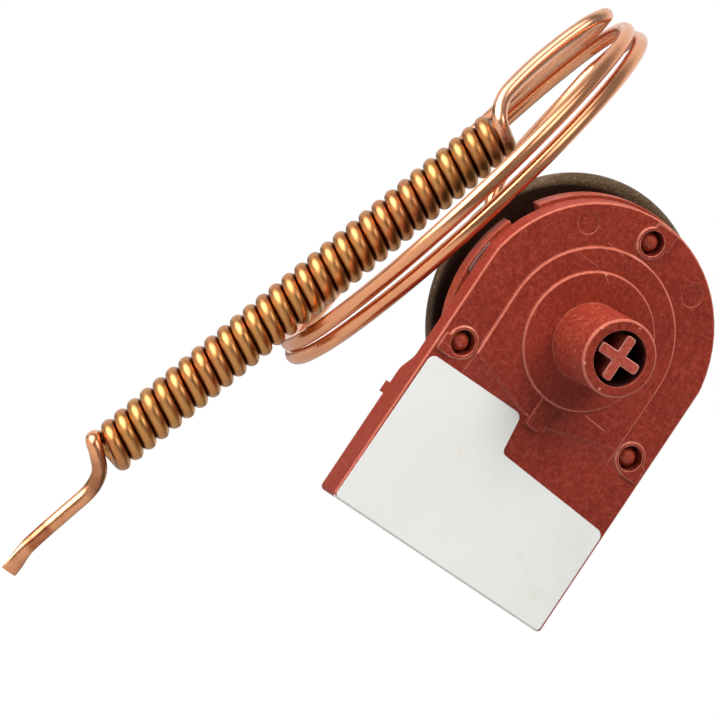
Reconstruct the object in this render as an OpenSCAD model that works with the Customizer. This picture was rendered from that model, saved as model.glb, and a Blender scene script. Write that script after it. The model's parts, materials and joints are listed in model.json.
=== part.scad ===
// Safety thermostat with a reset button, three switched poles and a copper sensing tube.
// The button axis is the Y axis. The face looks along -Y, the round end is up (+Z) and
// the terminal end is down. Y = 0 is the raised ring that seats against a panel.

/* [Case] */
// Width of the case across its straight sides
case_w = 44.3; // [43.5:0.1:46]
// Distance from the button axis down to the bottom edge
case_drop = 43; // [42:0.5:47]
// How much further out the round end reaches than the straight sides
end_bulge = 0.3; // [0.2:0.1:0.6]
// Thickness of the cover's walls
wall_t = 1.5; // [1.3:0.1:1.7]
// Thickness of the cover's face
face_t = 1.8; // [1.6:0.1:2]
// Radius of the two corners at the bottom edge
corner_r = 0.8; // [0.5:0.1:2]
// Height of the cover's walls behind the face at the round end
side_depth = 3.4; // [3.2:0.1:3.8]
// Height of the cover's walls behind the face at the terminal end
skirt_depth = 5.6; // [5:0.1:6]
// Distance below the button axis at which the walls start to deepen
skirt_from = 16.8; // [15:0.2:18]
// Distance below the button axis at which the walls are at their full depth
skirt_to = 20.8; // [20:0.2:22.8]
// Room between the cover's walls and the base inside them
fit_gap = 0.3; // [0.2:0.05:0.4]
// Width of the bevels along the cover's edges and steps
edge_bevel = 0.25; // [0.15:0.05:0.35]

/* [Face] */
// Height of each of the two steps on the face
step_h = 0.55; // [0.4:0.05:0.7]
// Radius of the raised ring round the boss
ring_r = 11.5; // [11:0.25:13]
// Radius of the arch step round the ring
arch_r = 15.4; // [15:0.1:15.8]
// Outer diameter of the button boss
boss_d = 12.8; // [12.4:0.1:13.4]
// Length of the button boss in front of the raised ring
boss_len = 12; // [9:0.5:15]
// Diameter of the bore through the boss
boss_bore = 9.2; // [8.8:0.1:9.6]
// Width of the bevel round the boss's front edge
boss_bevel = 0.35; // [0.2:0.05:0.6]
// Radius of the round moulding marks
mark_r = 1.85; // [1.5:0.05:2.2]
// Depth of the round moulding marks
mark_depth = 0.12; // [0.08:0.02:0.2]
// Width of the raised rib below the ring
rib_w = 3.4; // [3:0.1:4]

/* [Sockets and posts] */
// Diameter of the three sockets in the face
socket_d = 4.2; // [3.9:0.1:4.4]
// Width of the collar round each socket
collar_w = 0.6; // [0.4:0.05:0.7]
// Height of the collars
collar_h = 0.35; // [0.2:0.05:0.5]
// Diameter of the posts that fill the sockets
post_d = 3.4; // [3.1:0.1:3.6]
// Distance of the upper socket from the round end's edge
top_post_inset = 3.8; // [3.6:0.1:4]
// Distance of the side sockets from the straight sides
side_post_inset = 4; // [3.8:0.1:4.2]
// Distance of the side sockets below the button axis
side_post_drop = 11.5; // [11:0.25:12.5]
// How far the posts' tips sit below the face
post_sink = 0.1; // [0:0.05:0.6]

/* [Base] */
// How far the base's rim stands out past the cover
rim_lip = 0.5; // [0.3:0.1:0.8]
// Thickness of the base's flange
flange_t = 2.4; // [2.2:0.1:2.6]
// How much smaller the base is behind its rim
neck_step = 3.45; // [3:0.05:3.5]
// Depth of the base behind its flange
neck_depth = 4.2; // [4.1:0.1:4.6]
// How far the terminal block stands out behind the rest of the base
block_step = 2; // [1.8:0.1:2.4]
// Thickness of the base's floor
floor_t = 1.3; // [1.2:0.1:1.4]
// Thickness of the base's walls beside the terminals
base_wall = 1.4; // [1.2:0.1:1.6]
// Thickness of the base's wall at the round end
end_wall = 1.7; // [1.5:0.1:1.9]
// Angle at which the notch in the rim starts
notch_from = 144; // [140:1:148]
// Angle at which the notch in the rim ends
notch_to = 157.6; // [155:0.2:160]
// Radial depth of the notch in the rim
notch_depth = 2.8; // [2:0.1:3]

/* [Label] */
// Thickness of the label
label_t = 0.12; // [0.08:0.02:0.2]
// Distance of the label's upper edge below the button axis
label_top = 15.6; // [15.4:0.1:16.6]
// Distance of the label's step below the button axis
label_step = 22.4; // [21.5:0.1:23.5]
// Radius of the label's corners
label_r = 1.3; // [0.8:0.1:1.6]

/* [Button] */
// Width of the button's four arms
arm_w = 1.7; // [1.5:0.05:2]
// Radius of the corners of the button's arms
arm_r = 0.5; // [0.2:0.05:0.6]
// Room between the arms' ends and the bore
button_gap = 0.7; // [0.4:0.05:0.9]
// How far the button sits below the boss's front
button_sink = 0.4; // [0.2:0.1:0.8]
// How far the button can be pressed
button_travel = 1.8; // [1.5:0.1:2]
// Thickness of the button's flange
button_flange_t = 1; // [0.8:0.1:1.2]
// Width of the ledge that the bore leaves for the flange
button_ledge = 1.1; // [0.9:0.05:1.2]
// Diameter of the button's rear pin
button_pin_d = 4; // [3:0.25:5]
// Wire diameter of the reset spring
reset_wire = 0.5; // [0.4:0.05:0.6]
// Outer diameter of the reset spring
reset_spring_d = 8; // [7:0.25:8.5]

/* [Switch] */
// Distance between neighbouring poles
pole_pitch = 11.5; // [11.2:0.1:11.7]
// Width of the terminal tabs
tab_w = 6.3; // [4.8:0.1:6.3]
// Thickness of the terminal tabs
tab_t = 0.8; // [0.5:0.1:0.8]
// Length of the terminal tabs behind the terminal block
tab_len = 8.4; // [7:0.2:10]
// Room beside the outer terminals
pole_room = 0.95; // [0.9:0.05:1.1]
// Distance of each tab from the middle of the contact bridges
tab_offset = 6.4; // [6.2:0.1:6.6]
// Distance of each contact tip from the middle of the contact bridges
tip_offset = 3.4; // [3.2:0.1:3.6]
// Diameter of the moving contact tips
bridge_tip_d = 3; // [2.6:0.1:3.1]
// Diameter of the fixed contact tips
fixed_tip_d = 3.2; // [2.8:0.1:3.4]
// Thickness of the fixed contact tips
fixed_tip_t = 0.7; // [0.6:0.05:0.8]
// Width of the contact bridges
bridge_w = 4; // [3.4:0.1:4.2]
// Thickness of the contact bridges
bridge_t = 0.6; // [0.5:0.05:0.7]
// How far the contacts open
contact_travel = 1.6; // [1.4:0.1:1.65]
// How far a bridge gives against its own spring
bridge_give = 0.4; // [0.3:0.05:0.5]
// Wire diameter of the bridge springs
bridge_wire = 0.4; // [0.3:0.05:0.45]
// Width of the snap spring
snap_w = 3; // [2:0.25:4]
// Thickness of the snap spring
snap_t = 0.25; // [0.2:0.05:0.3]
// How far the snap spring bows out
snap_sag = 0.95; // [0.8:0.05:1]

/* [Trip gear] */
// Thickness of the fulcrum plate
plate_t = 0.5; // [0.4:0.05:0.6]
// Distance of the lever's pin from the cavity's wall at the round end
lever_pin_inset = 3.8; // [3.6:0.1:4]
// Diameter of the lever's pin
lever_pin_d = 1.6; // [1.4:0.05:1.8]
// Thickness of the trip lever
lever_t = 0.8; // [0.7:0.05:0.85]
// Half of the trip lever's width
lever_half = 4.4; // [4:0.1:4.5]
// Diameter of the calibration screw
screw_d = 2.4; // [2:0.1:2.6]
// Diameter of the thrust pin
thrust_d = 3; // [2.6:0.1:3.2]
// Radial running clearance of pins in their holes
run_gap = 0.06; // [0.04:0.01:0.09]

/* [Sensor] */
// Room between the pressure disc and the terminal block
disc_gap = 1.3; // [0.7:0.1:1.9]
// Thickness of the pressure disc
disc_t = 3.2; // [3:0.1:3.6]
// Distance of the disc's centre above the button axis
disc_lift = 1.5; // [1.2:0.1:2]
// Radius of the diaphragm capsule in the disc
capsule_r = 13.8; // [12:0.2:14]
// Thickness of the diaphragms
diaphragm_t = 0.2; // [0.15:0.05:0.25]
// Diameter of the disc's rivets
rivet_d = 2; // [1.8:0.1:2.2]
// Outer diameter of the ferrule's collar
ferrule_d = 7; // [6.4:0.2:8]
// Outer diameter of the copper tube
tube_d = 2.5; // [2.3:0.05:2.6]
// Mean radius of the bulb's turns
bulb_r = 2.9; // [2.8:0.02:3]
// Turns in the bulb
bulb_turns = 30.7; // [28.7:1:30.7]

/* [Hidden] */
$fn = 64;
tiny = 0.01;
over = 1;
seat_gap = 0.05;

// Depths along Y, from the front to the back
boss_front = -boss_len;
arch_y = step_h;
face_y = 2 * step_h;
face_rear = face_y + face_t;
cover_rear = face_y + side_depth;
skirt_rear = face_y + skirt_depth;
plate_front = cover_rear;
plate_rear = plate_front + plate_t;
flange_front = plate_rear;
flange_rear = flange_front + flange_t;
base_rear = flange_rear + neck_depth;
floor_front = base_rear - floor_t;
block_rear = base_rear + block_step;
deep_floor = block_rear - floor_t;
disc_front = base_rear + tiny;
disc_rear = disc_front + disc_t;
tab_rear = block_rear + tab_len;

// Outlines of the cover and the base
cover_r = case_w / 2 + end_bulge;
rim_r = cover_r + rim_lip;
neck_r = rim_r - neck_step;
cavity_r = neck_r - end_wall;
flange_half = case_w / 2 - wall_t - fit_gap;
flange_bottom = -case_drop + wall_t + fit_gap;
cavity_half = pole_pitch + tab_w / 2 + pole_room;
cavity_bottom = flange_bottom + base_wall;
neck_half = cavity_half + base_wall;
notch_r = rim_r - notch_depth;

// Posts and sockets
post_places = [[0, cover_r - top_post_inset],
               [-(case_w / 2 - side_post_inset), -side_post_drop],
               [case_w / 2 - side_post_inset, -side_post_drop]];
post_tip = face_y + post_sink;
collar_r = socket_d / 2 + collar_w;
socket_boss_r = collar_r + 0.5;
collar_bevel = 0.15;
arch_leg = case_w / 2 - side_post_inset - collar_r - 0.2;
pad_reach = 3.3;
mark_places = [[-11.3, 15.5], [11.3, 15.5]];
lug_top = -23;
lug_low = -25;
lug_h = 1.6;

// Reset button and the pad it presses
well_r = boss_bore / 2 + button_ledge;
well_front = face_y - 0.05;
button_front = boss_front + button_sink;
stem_r = boss_bore / 2 - button_gap;
button_flange_r = well_r - 0.2;
button_flange_front = well_front + 2 * seat_gap;
button_flange_rear = button_flange_front + button_flange_t;
pad_front = floor_front - 3.2;
pad_t = 1;
pad_r = 4.7;
pin_rear = pad_front - button_travel - 4 * seat_gap;

// Contact carrier, bridges and terminals
bridge_z = cavity_bottom + tab_offset + tab_t / 2 + 1;
deep_top = bridge_z + tab_offset + tab_t;
block_top = deep_top + base_wall;
disc_r = disc_lift - block_top - disc_gap;
terminal_front = deep_floor - tab_t;
fixed_tip_front = terminal_front - fixed_tip_t;
bridge_tip_t = 0.72;
bridge_rear = fixed_tip_front - 0.03 - bridge_tip_t;
bridge_front = bridge_rear - bridge_t;
bridge_half_l = tip_offset + bridge_tip_d / 2 - 0.1;
stirrup_front = bridge_rear + seat_gap;
stirrup_rear = stirrup_front + 0.9;
carrier_front = face_rear + contact_travel + 0.2;
carrier_t = 1.4;
carrier_rear = carrier_front + carrier_t;
carrier_half_h = 3;
carrier_half = cavity_half - 0.4;
arm_front = pad_front;
arm_t = 0.8;
arm_half = 3;
leg_t = 1;
leg_half_h = 1.5;
leg_inner = bridge_w / 2 + 0.5;
rib_x = pole_pitch / 2;
divider_t = 1;
divider_front = carrier_rear + 0.9;
divider_top = deep_top + 4.8;
tongue_half_h = 2;
tongue_front = face_rear + 0.3;
tongue_gap = 0.12;

// Snap spring
snap_z = -14;
snap_half = cavity_half + 0.35;
snap_rear = arm_front - seat_gap;
snap_radius = (snap_half * snap_half + snap_sag * snap_sag) / (2 * snap_sag);
snap_steps = 24;
snap_room = 0.1;
stud_d = 2;
stud_h = 0.35;

// Trip lever and what it carries
lever_pin_z = cavity_r - lever_pin_inset;
lever_rear = floor_front - 0.6;
lever_front = lever_rear - lever_t;
lever_pin_y = lever_front - 0.7;
lever_tip_z = -7;
lever_wide_len = 5;
lever_top_z = lever_pin_z + 1;
ear_t = 1;
ear_in = lever_half + 0.3;
ear_half_h = 2;
web_half = ear_in + ear_t + 0.8;
screw_z = -3;
screw_nose_r = 0.6;
thrust_nose_r = 0.5;
thrust_nose_len = 1.5;
thrust_front = lever_rear + seat_gap;
capsule_front = base_rear + 0.3;
thrust_rear = capsule_front - seat_gap;
plate_r = cover_r - 0.5;
plate_inner_r = cavity_r - 2.3;
plate_open_half = cavity_half + 0.4;
plate_leg_half = flange_half - 0.2;
plate_leg_bottom = -side_post_drop - 4.5;
plate_edge_r = cover_r + 0.2;
plate_edge_from = 169.4;
plate_edge_to = 183.5;

// Pressure disc and capsule
recess_r = capsule_r + 0.4;
recess_rear = disc_front + 2;
rim_joint_y = (capsule_front + recess_rear) / 2;
rivet_ring_r = recess_r + rivet_d / 2 + 1.2;
rivet_angles = [39, 141, 270];
rivet_head_r = rivet_d / 2 + 0.7;
rivet_head_t = 0.8;
corrugations = 4;
corrugation_h = 0.3;
edge_r = 1.4;
ferrule_bore = tube_d + 0.1;
ferrule_spigot_r = 2.5;
ferrule_collar_rear = disc_rear + 1.5;
ferrule_rear = ferrule_collar_rear + 4.2;

// The copper tube: its tail, bulb, rise to the first loop and lead, in points chosen by hand
tube_sides = 8;
tail = [[-46, 35.8, -82.1], [-45.9, 35.6, -80.6], [-45.8, 35.6, -77.4], [-45.1, 35.2, -73.8],
        [-43.9, 34.5, -68.7], [-42.9, 33.9, -64.1], [-43.4, 33.5, -60.8], [-45.5, 33.5, -58.5],
        [-47, 34.7, -56.9]];
bulb_start = [-43.14, 36.08, -57.34];
bulb_end = [-21.94, 24.28, 20.96];
bulb_phase = 225;
bulb_lean = 0.105;
bulb_lean_at = 207;
bulb_rings = 14;
rise = [[-24.3, 21.7, 21.8], [-25, 23.1, 23.6], [-25, 24.3, 25.4], [-24.5, 25.3, 27.5],
        [-22.8, 26.9, 32], [-20.4, 28.4, 37.6], [-17.7, 29.6, 43.1], [-15.6, 31.2, 45.6],
        [-13.7, 33.6, 46.9], [-11.8, 37.6, 46.7]];
loop_centre = [-19.8, 36, 10.6];
loop_r = 37;
loop_growth = 0.79;
loop_flat = 0.84;
loop_yaw = 18.8;
loop_yaw_step = -1.1;
loop_roll = 12.12;
loop_roll_step = 0.3;
loop_pitch = 2.67;
loop_drift = 1.9;
loop_count = 2;
loop_from = 20;
loop_step = 10;
lead = [[-4.8, 39.2, 46.8], [-3.5, 43.6, 45], [-2.7, 47.2, 41.9], [-3.1, 48.4, 38.6], [-4.6, 47.2, 32.6],
        [-7, 44.4, 26.4], [-9.4, 41, 21.3], [-11.2, 38.2, 16.6], [-11.2, 35.8, 12], [-9, 34, 7.6],
        [-5.3, 32.8, 4.2], [-1.8, 30.8, 2.2], [-0.2, 27.8, 1.6], [0, 25, 1.5]];
exit_room = 1;
exit_run = 4;
tail_rings = 3;
rise_rings = 3;
lead_rings = 4;
pinch_len = 7;

copper = "#b87542";
red_moulding = "#a8402c";
red_cover = "#a03a2a";
steel = "#b9bcc0";
spring_steel = "#8d9095";
brass = "#c9a454";
silver = "#d8d8d6";
olive_steel = "#6d6247";
dark_moulding = "#3a3532";

// A flat outline drawn in X and Z, given its depth along Y
module slab(y0, y1) {
    translate([0, y1, 0])
        rotate([90, 0, 0])
            linear_extrude(y1 - y0)
                children();
}

// A slab of a convex outline with a bevel round its front edge
module bevelled_slab(y0, y1) {
    hull() {
        slab(y0, y0 + tiny)
            offset(delta = -edge_bevel)
                children();
        slab(y0 + edge_bevel, y1)
            children();
    }
}

// A side profile drawn in Y and Z, carried along X
module across(x0, x1) {
    translate([x0, 0, 0])
        rotate([90, 0, 90])
            linear_extrude(x1 - x0)
                children();
}

// A round bar along Y at a place [x, z]
module bar(r, y0, y1, at = [0, 0]) {
    translate([at.x, y1, at.y])
        rotate([90, 0, 0])
            cylinder(r = r, h = y1 - y0);
}

// A profile of points [radius, y] turned about Y at a place [x, z]
module turned(points, at = [0, 0]) {
    translate([at.x, 0, at.y])
        rotate([90, 0, 0])
            rotate_extrude()
                polygon([for (p = points) [p.x, -p.y]]);
}

// A box between two corners
module block(low, high) {
    translate(low)
        cube(high - low);
}

// A rectangle with round corners between two corners
module soft_rect(low, high, r) {
    translate([low.x + r, low.y])
        square([high.x - low.x - 2 * r, high.y - low.y]);
    translate([low.x, low.y + r])
        square([high.x - low.x, high.y - low.y - 2 * r]);
    for (x = [low.x + r, high.x - r], y = [low.y + r, high.y - r])
        translate([x, y])
            circle(r);
}

function unit(v) = v / norm(v);

// The arc that rounds one corner c between its neighbours, as points
function corner_arc(before, c, after, r, steps) =
    let (u = unit(before - c), v = unit(after - c), half = acos(u * v) / 2,
         m = c + unit(u + v) * r / sin(half), start = c + u * r / tan(half) - m,
         end = c + v * r / tan(half) - m, turn = acos(unit(start) * unit(end)))
    [for (i = [0:steps])
        m + (sin(turn * (1 - i / steps)) * start + sin(turn * i / steps) * end) / sin(turn)];

// A polygon whose corners [x, y, radius] are rounded
function rounded(corners, steps = 6) =
    let (n = len(corners))
    [for (i = [0:n - 1])
        let (c = corners[i], b = corners[(i + n - 1) % n], a = corners[(i + 1) % n])
        each corner_arc([b.x, b.y], [c.x, c.y], [a.x, a.y], c.z, steps)];

// One step of a smooth curve through points
function curve_at(a, b, c, d, t) =
    (2 * b + (c - a) * t + (2 * a - 5 * b + 4 * c - d) * t * t
     + (3 * b - a - 3 * c + d) * t * t * t) / 2;

// A smooth curve from the second of the points up to just before the last but one
function curve(points, steps) =
    [for (i = [1:len(points) - 3], j = [0:steps - 1])
        curve_at(points[i - 1], points[i], points[i + 1], points[i + 2], j / steps)];

function tangents(path) =
    [for (i = [0:len(path) - 1])
        unit(path[min(i + 1, len(path) - 1)] - path[max(i - 1, 0)])];

function carried(n, t) = unit(n - (n * t) * t);

// Normals carried along a path so that its section never twists
function normals(t, first) =
    [for (i = 0, n = carried(first, t[0]); i < len(t);
          n = carried(n, t[min(i + 1, len(t) - 1)]), i = i + 1) n];

// A tube along a path; widths and heights scale its section at each point
module swept(path, r, sides, widths, heights, first = [1, 0, 0]) {
    t = tangents(path);
    n = normals(t, first);
    rings = len(path);
    points = [for (i = [0:rings - 1], k = [0:sides - 1])
        let (a = (k + 0.5) * 360 / sides)
        path[i] + r * (widths[i] * cos(a) * n[i] + heights[i] * sin(a) * cross(t[i], n[i]))];
    sides_faces = [for (i = [0:rings - 2], k = [0:sides - 1], half = [0, 1])
        let (a = i * sides + k, b = i * sides + (k + 1) % sides)
        half == 0 ? [a, a + sides, b + sides] : [a, b + sides, b]];
    caps = [[for (k = [0:sides - 1]) k],
            [for (k = [sides - 1:-1:0]) (rings - 1) * sides + k]];
    polyhedron(points, concat(sides_faces, caps));
}

function ones(path) = [for (p = path) 1];

// A coil spring along Y at a place [x, z], with flat end turns
module coil(y0, y1, outer_d, wire, turns, at, rings = 14) {
    mean_r = (outer_d - wire) / 2;
    flat_share = 0.7 / turns;
    path = [for (i = [0:round(turns * rings)])
        let (u = i / round(turns * rings), a = 360 * turns * u,
             rise_u = min(max((u - flat_share) / (1 - 2 * flat_share), 0), 1))
        [at.x + mean_r * cos(a), y0 + wire * (0.55 + 0.3 * min(u, flat_share) / flat_share)
         + (y1 - y0 - wire * 1.7) * rise_u
         + wire * 0.3 * max(u - 1 + flat_share, 0) / flat_share,
         at.y + mean_r * sin(a)]];
    swept(path, wire / 2, 6, ones(path), ones(path));
}

// Outline of the cover, drawn in by an inset
module cover_outline(inset = 0) {
    half = case_w / 2 - inset;
    r = max(corner_r - inset, 0.1);
    intersection() {
        circle(cover_r - inset);
        translate([-half, -r])
            square([2 * half, cover_r + 2 * r]);
    }
    translate([-half, -case_drop + inset + r])
        square([2 * half, case_drop - inset - r]);
    translate([-half + r, -case_drop + inset])
        square([2 * half - 2 * r, 2 * r]);
    for (x = [-half + r, half - r])
        translate([x, -case_drop + inset + r])
            circle(r);
}

// What is cut away behind the S-shaped rear edge of the cover's walls
module wall_edge_cut() {
    steps = 12;
    far = cover_r + over;
    bend = [for (i = [0:steps])
        [cover_rear + (skirt_rear - cover_rear) * (1 - cos(180 * i / steps)) / 2,
         -skirt_from - (skirt_to - skirt_from) * i / steps]];
    across(-far, far)
        polygon(concat([[skirt_rear + over, far], [cover_rear, far]], bend,
                       [[skirt_rear + over, -skirt_to]]));
}

module arch_outline() {
    circle(arch_r);
    translate([-arch_leg, -side_post_drop - edge_bevel])
        square([2 * arch_leg, side_post_drop + edge_bevel]);
}

// The arch's lower end runs out in a slope above the label
module arch_slope() {
    across(-arch_leg, arch_leg)
        polygon([[arch_y, -side_post_drop + tiny], [face_y + tiny, -side_post_drop + tiny],
                 [face_y + tiny, -label_top + 0.1], [face_y, -label_top + 0.1],
                 [arch_y, -side_post_drop]]);
}

// A square pad that leads each socket's collar out to the edge
module socket_pads() {
    y0 = face_y - collar_h;
    top = post_places[0];
    slab(y0, face_y + tiny)
        soft_rect([top.x - 1, top.y], [top.x + 3.1, top.y + pad_reach], 0.3);
    for (side = [-1, 1])
        slab(y0, face_y + tiny)
            translate([side * (case_w / 2 - side_post_inset), -side_post_drop])
                soft_rect([min(0, side * pad_reach), -3], [max(0, side * pad_reach), 0], 0.3);
}

// The raised rib below the ring, with a short ridge along its left edge
module face_rib() {
    left = -1.25;
    low = -label_top - 0.8;
    slab(arch_y - 0.3, face_y + tiny)
        soft_rect([left, low], [left + rib_w, -ring_r + 2], 0.9);
    slab(arch_y - 0.45, face_y + tiny)
        soft_rect([left, low], [left + 0.6, low + 2.2], 0.2);
}

module front_cover() {
    color(red_cover)
    difference() {
        union() {
            difference() {
                union() {
                    bevelled_slab(face_y, face_rear)
                        cover_outline();
                    slab(face_rear - tiny, skirt_rear)
                        cover_outline();
                }
                slab(face_rear, skirt_rear + over)
                    cover_outline(wall_t);
                wall_edge_cut();
            }
            bevelled_slab(arch_y, face_y + tiny)
                arch_outline();
            arch_slope();
            turned([[0, 0], [ring_r - edge_bevel, 0], [ring_r, edge_bevel], [ring_r, face_y], [0, face_y]]);
            turned([[0, boss_front], [boss_d / 2 - boss_bevel, boss_front],
                    [boss_d / 2, boss_front + boss_bevel], [boss_d / 2, face_y], [0, face_y]]);
            face_rib();
            socket_pads();
            for (p = post_places) {
                turned([[0, face_y - collar_h], [collar_r - collar_bevel, face_y - collar_h],
                        [collar_r, face_y - collar_h + collar_bevel], [collar_r, face_y + tiny],
                        [0, face_y + tiny]], p);
                bar(socket_boss_r, face_rear - tiny, cover_rear, p);
            }
            for (side = [-1, 1])
                block([min(side * case_w / 2, side * (case_w / 2 - wall_t)), skirt_rear - tiny, lug_low],
                      [max(side * case_w / 2, side * (case_w / 2 - wall_t)), skirt_rear + lug_h, lug_top]);
        }
        bar(boss_bore / 2, boss_front - over, face_rear + over);
        bar(well_r, well_front, face_rear + over);
        for (p = post_places)
            bar(socket_d / 2, face_y - over, cover_rear + over, p);
        for (p = mark_places)
            bar(mark_r, face_y - over, face_y + mark_depth, p);
    }
}

module base_outline(round_r, half, bottom) {
    circle(round_r);
    translate([-half, bottom])
        square([2 * half, -bottom]);
}

// A flat wedge from the middle to beyond the rim, between two angles
module sector(from, to) {
    far = rim_r + 6;
    polygon([[0, 0], far * [cos(from), sin(from)], far * [cos(to), sin(to)]]);
}

module rim_notch() {
    slab(flange_front - over, flange_rear)
        difference() {
            sector(notch_from, notch_to);
            circle(notch_r);
        }
}

module base_housing() {
    color(red_moulding) {
        difference() {
            union() {
                slab(flange_front, flange_rear)
                    base_outline(rim_r, flange_half, flange_bottom);
                slab(flange_rear - tiny, base_rear)
                    base_outline(neck_r, neck_half, block_top);
                block([-neck_half, flange_rear - tiny, flange_bottom], [neck_half, block_rear, block_top]);
            }
            slab(flange_front - over, floor_front)
                intersection() {
                    base_outline(cavity_r, cavity_half, cavity_bottom);
                    translate([-cavity_half, cavity_bottom])
                        square([2 * cavity_half, 2 * cavity_r - cavity_bottom]);
                }
            block([-cavity_half, floor_front - over, cavity_bottom], [cavity_half, deep_floor, deep_top]);
            rim_notch();
            for (x = pole_xs(), z = [bridge_z - tab_offset, bridge_z + tab_offset])
                block([x - tab_w / 2 - 0.1, deep_floor - over, z - tab_t / 2 - 0.1],
                      [x + tab_w / 2 + 0.1, block_rear + over, z + tab_t / 2 + 0.1]);
            bar(thrust_d / 2 + run_gap, floor_front - over, base_rear + over, [0, disc_lift]);
            for (p = rivet_places()) {
                bar(rivet_d / 2 + 0.05, floor_front - over, base_rear + over, p);
                bar(rivet_head_r + 0.15, flange_front + 2.5, floor_front, p);
            }
            for (side = [-1, 1])
                block([min(side * (cavity_half - over), side * (snap_half + snap_room)), flange_front - over,
                       snap_z - snap_w / 2 - snap_room],
                      [max(side * (cavity_half - over), side * (snap_half + snap_room)),
                       snap_rear - snap_sag + snap_room, snap_z + snap_w / 2 + snap_room]);
        }
        for (p = post_places) {
            bar(post_d / 2, post_tip + post_d / 2, flange_front + 1, p);
            translate([p.x, post_tip + post_d / 2, p.y])
                sphere(d = post_d);
        }
        for (x = [-rib_x, rib_x]) {
            block([x - divider_t / 2, divider_front, cavity_bottom - tiny],
                  [x + divider_t / 2, deep_floor + tiny, divider_top]);
            block([x - divider_t / 2, tongue_front, bridge_z - tongue_half_h],
                  [x + divider_t / 2, divider_front + tiny, bridge_z + tongue_half_h]);
        }
    }
}

function pole_xs() = [-pole_pitch, 0, pole_pitch];

function rivet_places() =
    [for (a = rivet_angles) [rivet_ring_r * cos(a), disc_lift + rivet_ring_r * sin(a)]];

module label() {
    left = -case_w / 2 + edge_bevel + 0.05;
    right = case_w / 2 - edge_bevel - 0.2;
    low = -case_drop + edge_bevel + 0.05;
    corners = [[left + 0.3, -label_top, label_r], [left, low, 0.6],
               [right, low, 0.6], [right, -label_step - 1.5, label_r],
               [-1.5, -label_step, 1], [-2.4, -label_top, label_r]];
    color("#dfe5e2")
        slab(face_y - label_t, face_y)
            polygon(rounded(corners));
}

module reset_button() {
    color(red_moulding) {
        slab(button_front, button_flange_front + tiny)
            for (turn = [0, 90])
                rotate(turn)
                    soft_rect([-stem_r, -arm_w / 2], [stem_r, arm_w / 2], arm_r);
        bar(button_flange_r, button_flange_front, button_flange_rear);
        bar(button_pin_d / 2, button_flange_rear - tiny, pin_rear);
    }
}

module reset_spring() {
    color(spring_steel)
        coil(button_flange_rear + 0.02, pad_front - 0.02, reset_spring_d, reset_wire, 4, [0, 0], 16);
}

module contact_carrier() {
    color(dark_moulding)
    difference() {
        union() {
            bar(pad_r, pad_front, pad_front + pad_t);
            block([-arm_half, arm_front, bridge_z + carrier_half_h + 2],
                  [arm_half, arm_front + arm_t, -pad_r + 0.9]);
            block([-arm_half, carrier_front, bridge_z + carrier_half_h - tiny],
                  [arm_half, arm_front + arm_t, bridge_z + carrier_half_h + 2 + tiny]);
            block([-carrier_half, carrier_front, bridge_z - carrier_half_h],
                  [carrier_half, carrier_rear, bridge_z + carrier_half_h]);
            for (x = pole_xs())
                difference() {
                    block([x - leg_inner - leg_t, carrier_rear - tiny, bridge_z - leg_half_h],
                          [x + leg_inner + leg_t, stirrup_rear, bridge_z + leg_half_h]);
                    block([x - leg_inner, carrier_rear, bridge_z - leg_half_h - over],
                          [x + leg_inner, stirrup_front, bridge_z + leg_half_h + over]);
                }
            bar(stud_d / 2, arm_front - stud_h, arm_front + tiny, [0, snap_z]);
        }
        for (x = [-rib_x, rib_x])
            block([x - divider_t / 2 - tongue_gap, carrier_front - over,
                   bridge_z - tongue_half_h - tongue_gap],
                  [x + divider_t / 2 + tongue_gap, carrier_rear + over,
                   bridge_z + tongue_half_h + tongue_gap]);
    }
}

// A bowed strip: its middle rests on the carrier's arm, its ends in notches of the base
module snap_spring() {
    half_turn = asin(snap_half / snap_radius);
    centre_y = snap_rear - snap_radius;
    angles = [for (i = [0:snap_steps]) -half_turn + 2 * half_turn * i / snap_steps];
    outer = [for (a = angles) [snap_radius * sin(a), centre_y + snap_radius * cos(a)]];
    inner = [for (a = angles) [snap_radius * sin(a), centre_y + snap_radius * cos(a) - snap_t]];
    color(spring_steel)
    difference() {
        translate([0, 0, snap_z - snap_w / 2])
            linear_extrude(snap_w)
                polygon(concat(outer, [for (i = [snap_steps:-1:0]) inner[i]]));
        bar(stud_d / 2 + 0.1, snap_rear - over, snap_rear + over, [0, snap_z]);
    }
}

module bridge(x) {
    color(brass)
        slab(bridge_front, bridge_rear)
            soft_rect([x - bridge_w / 2, bridge_z - bridge_half_l],
                      [x + bridge_w / 2, bridge_z + bridge_half_l], 0.8);
}

module bridge_tips(x) {
    color(silver)
        for (z = [bridge_z - tip_offset, bridge_z + tip_offset])
            turned([[0, bridge_rear], [bridge_tip_d / 2, bridge_rear],
                    [bridge_tip_d / 2, bridge_rear + bridge_tip_t - 0.2],
                    [bridge_tip_d / 2 - 0.3, bridge_rear + bridge_tip_t],
                    [0, bridge_rear + bridge_tip_t]], [x, z]);
}

module bridge_spring(x) {
    color(spring_steel)
        coil(carrier_rear + 0.02, bridge_front - 0.02, bridge_w - 0.2, bridge_wire, 4, [x, bridge_z], 12);
}

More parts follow.
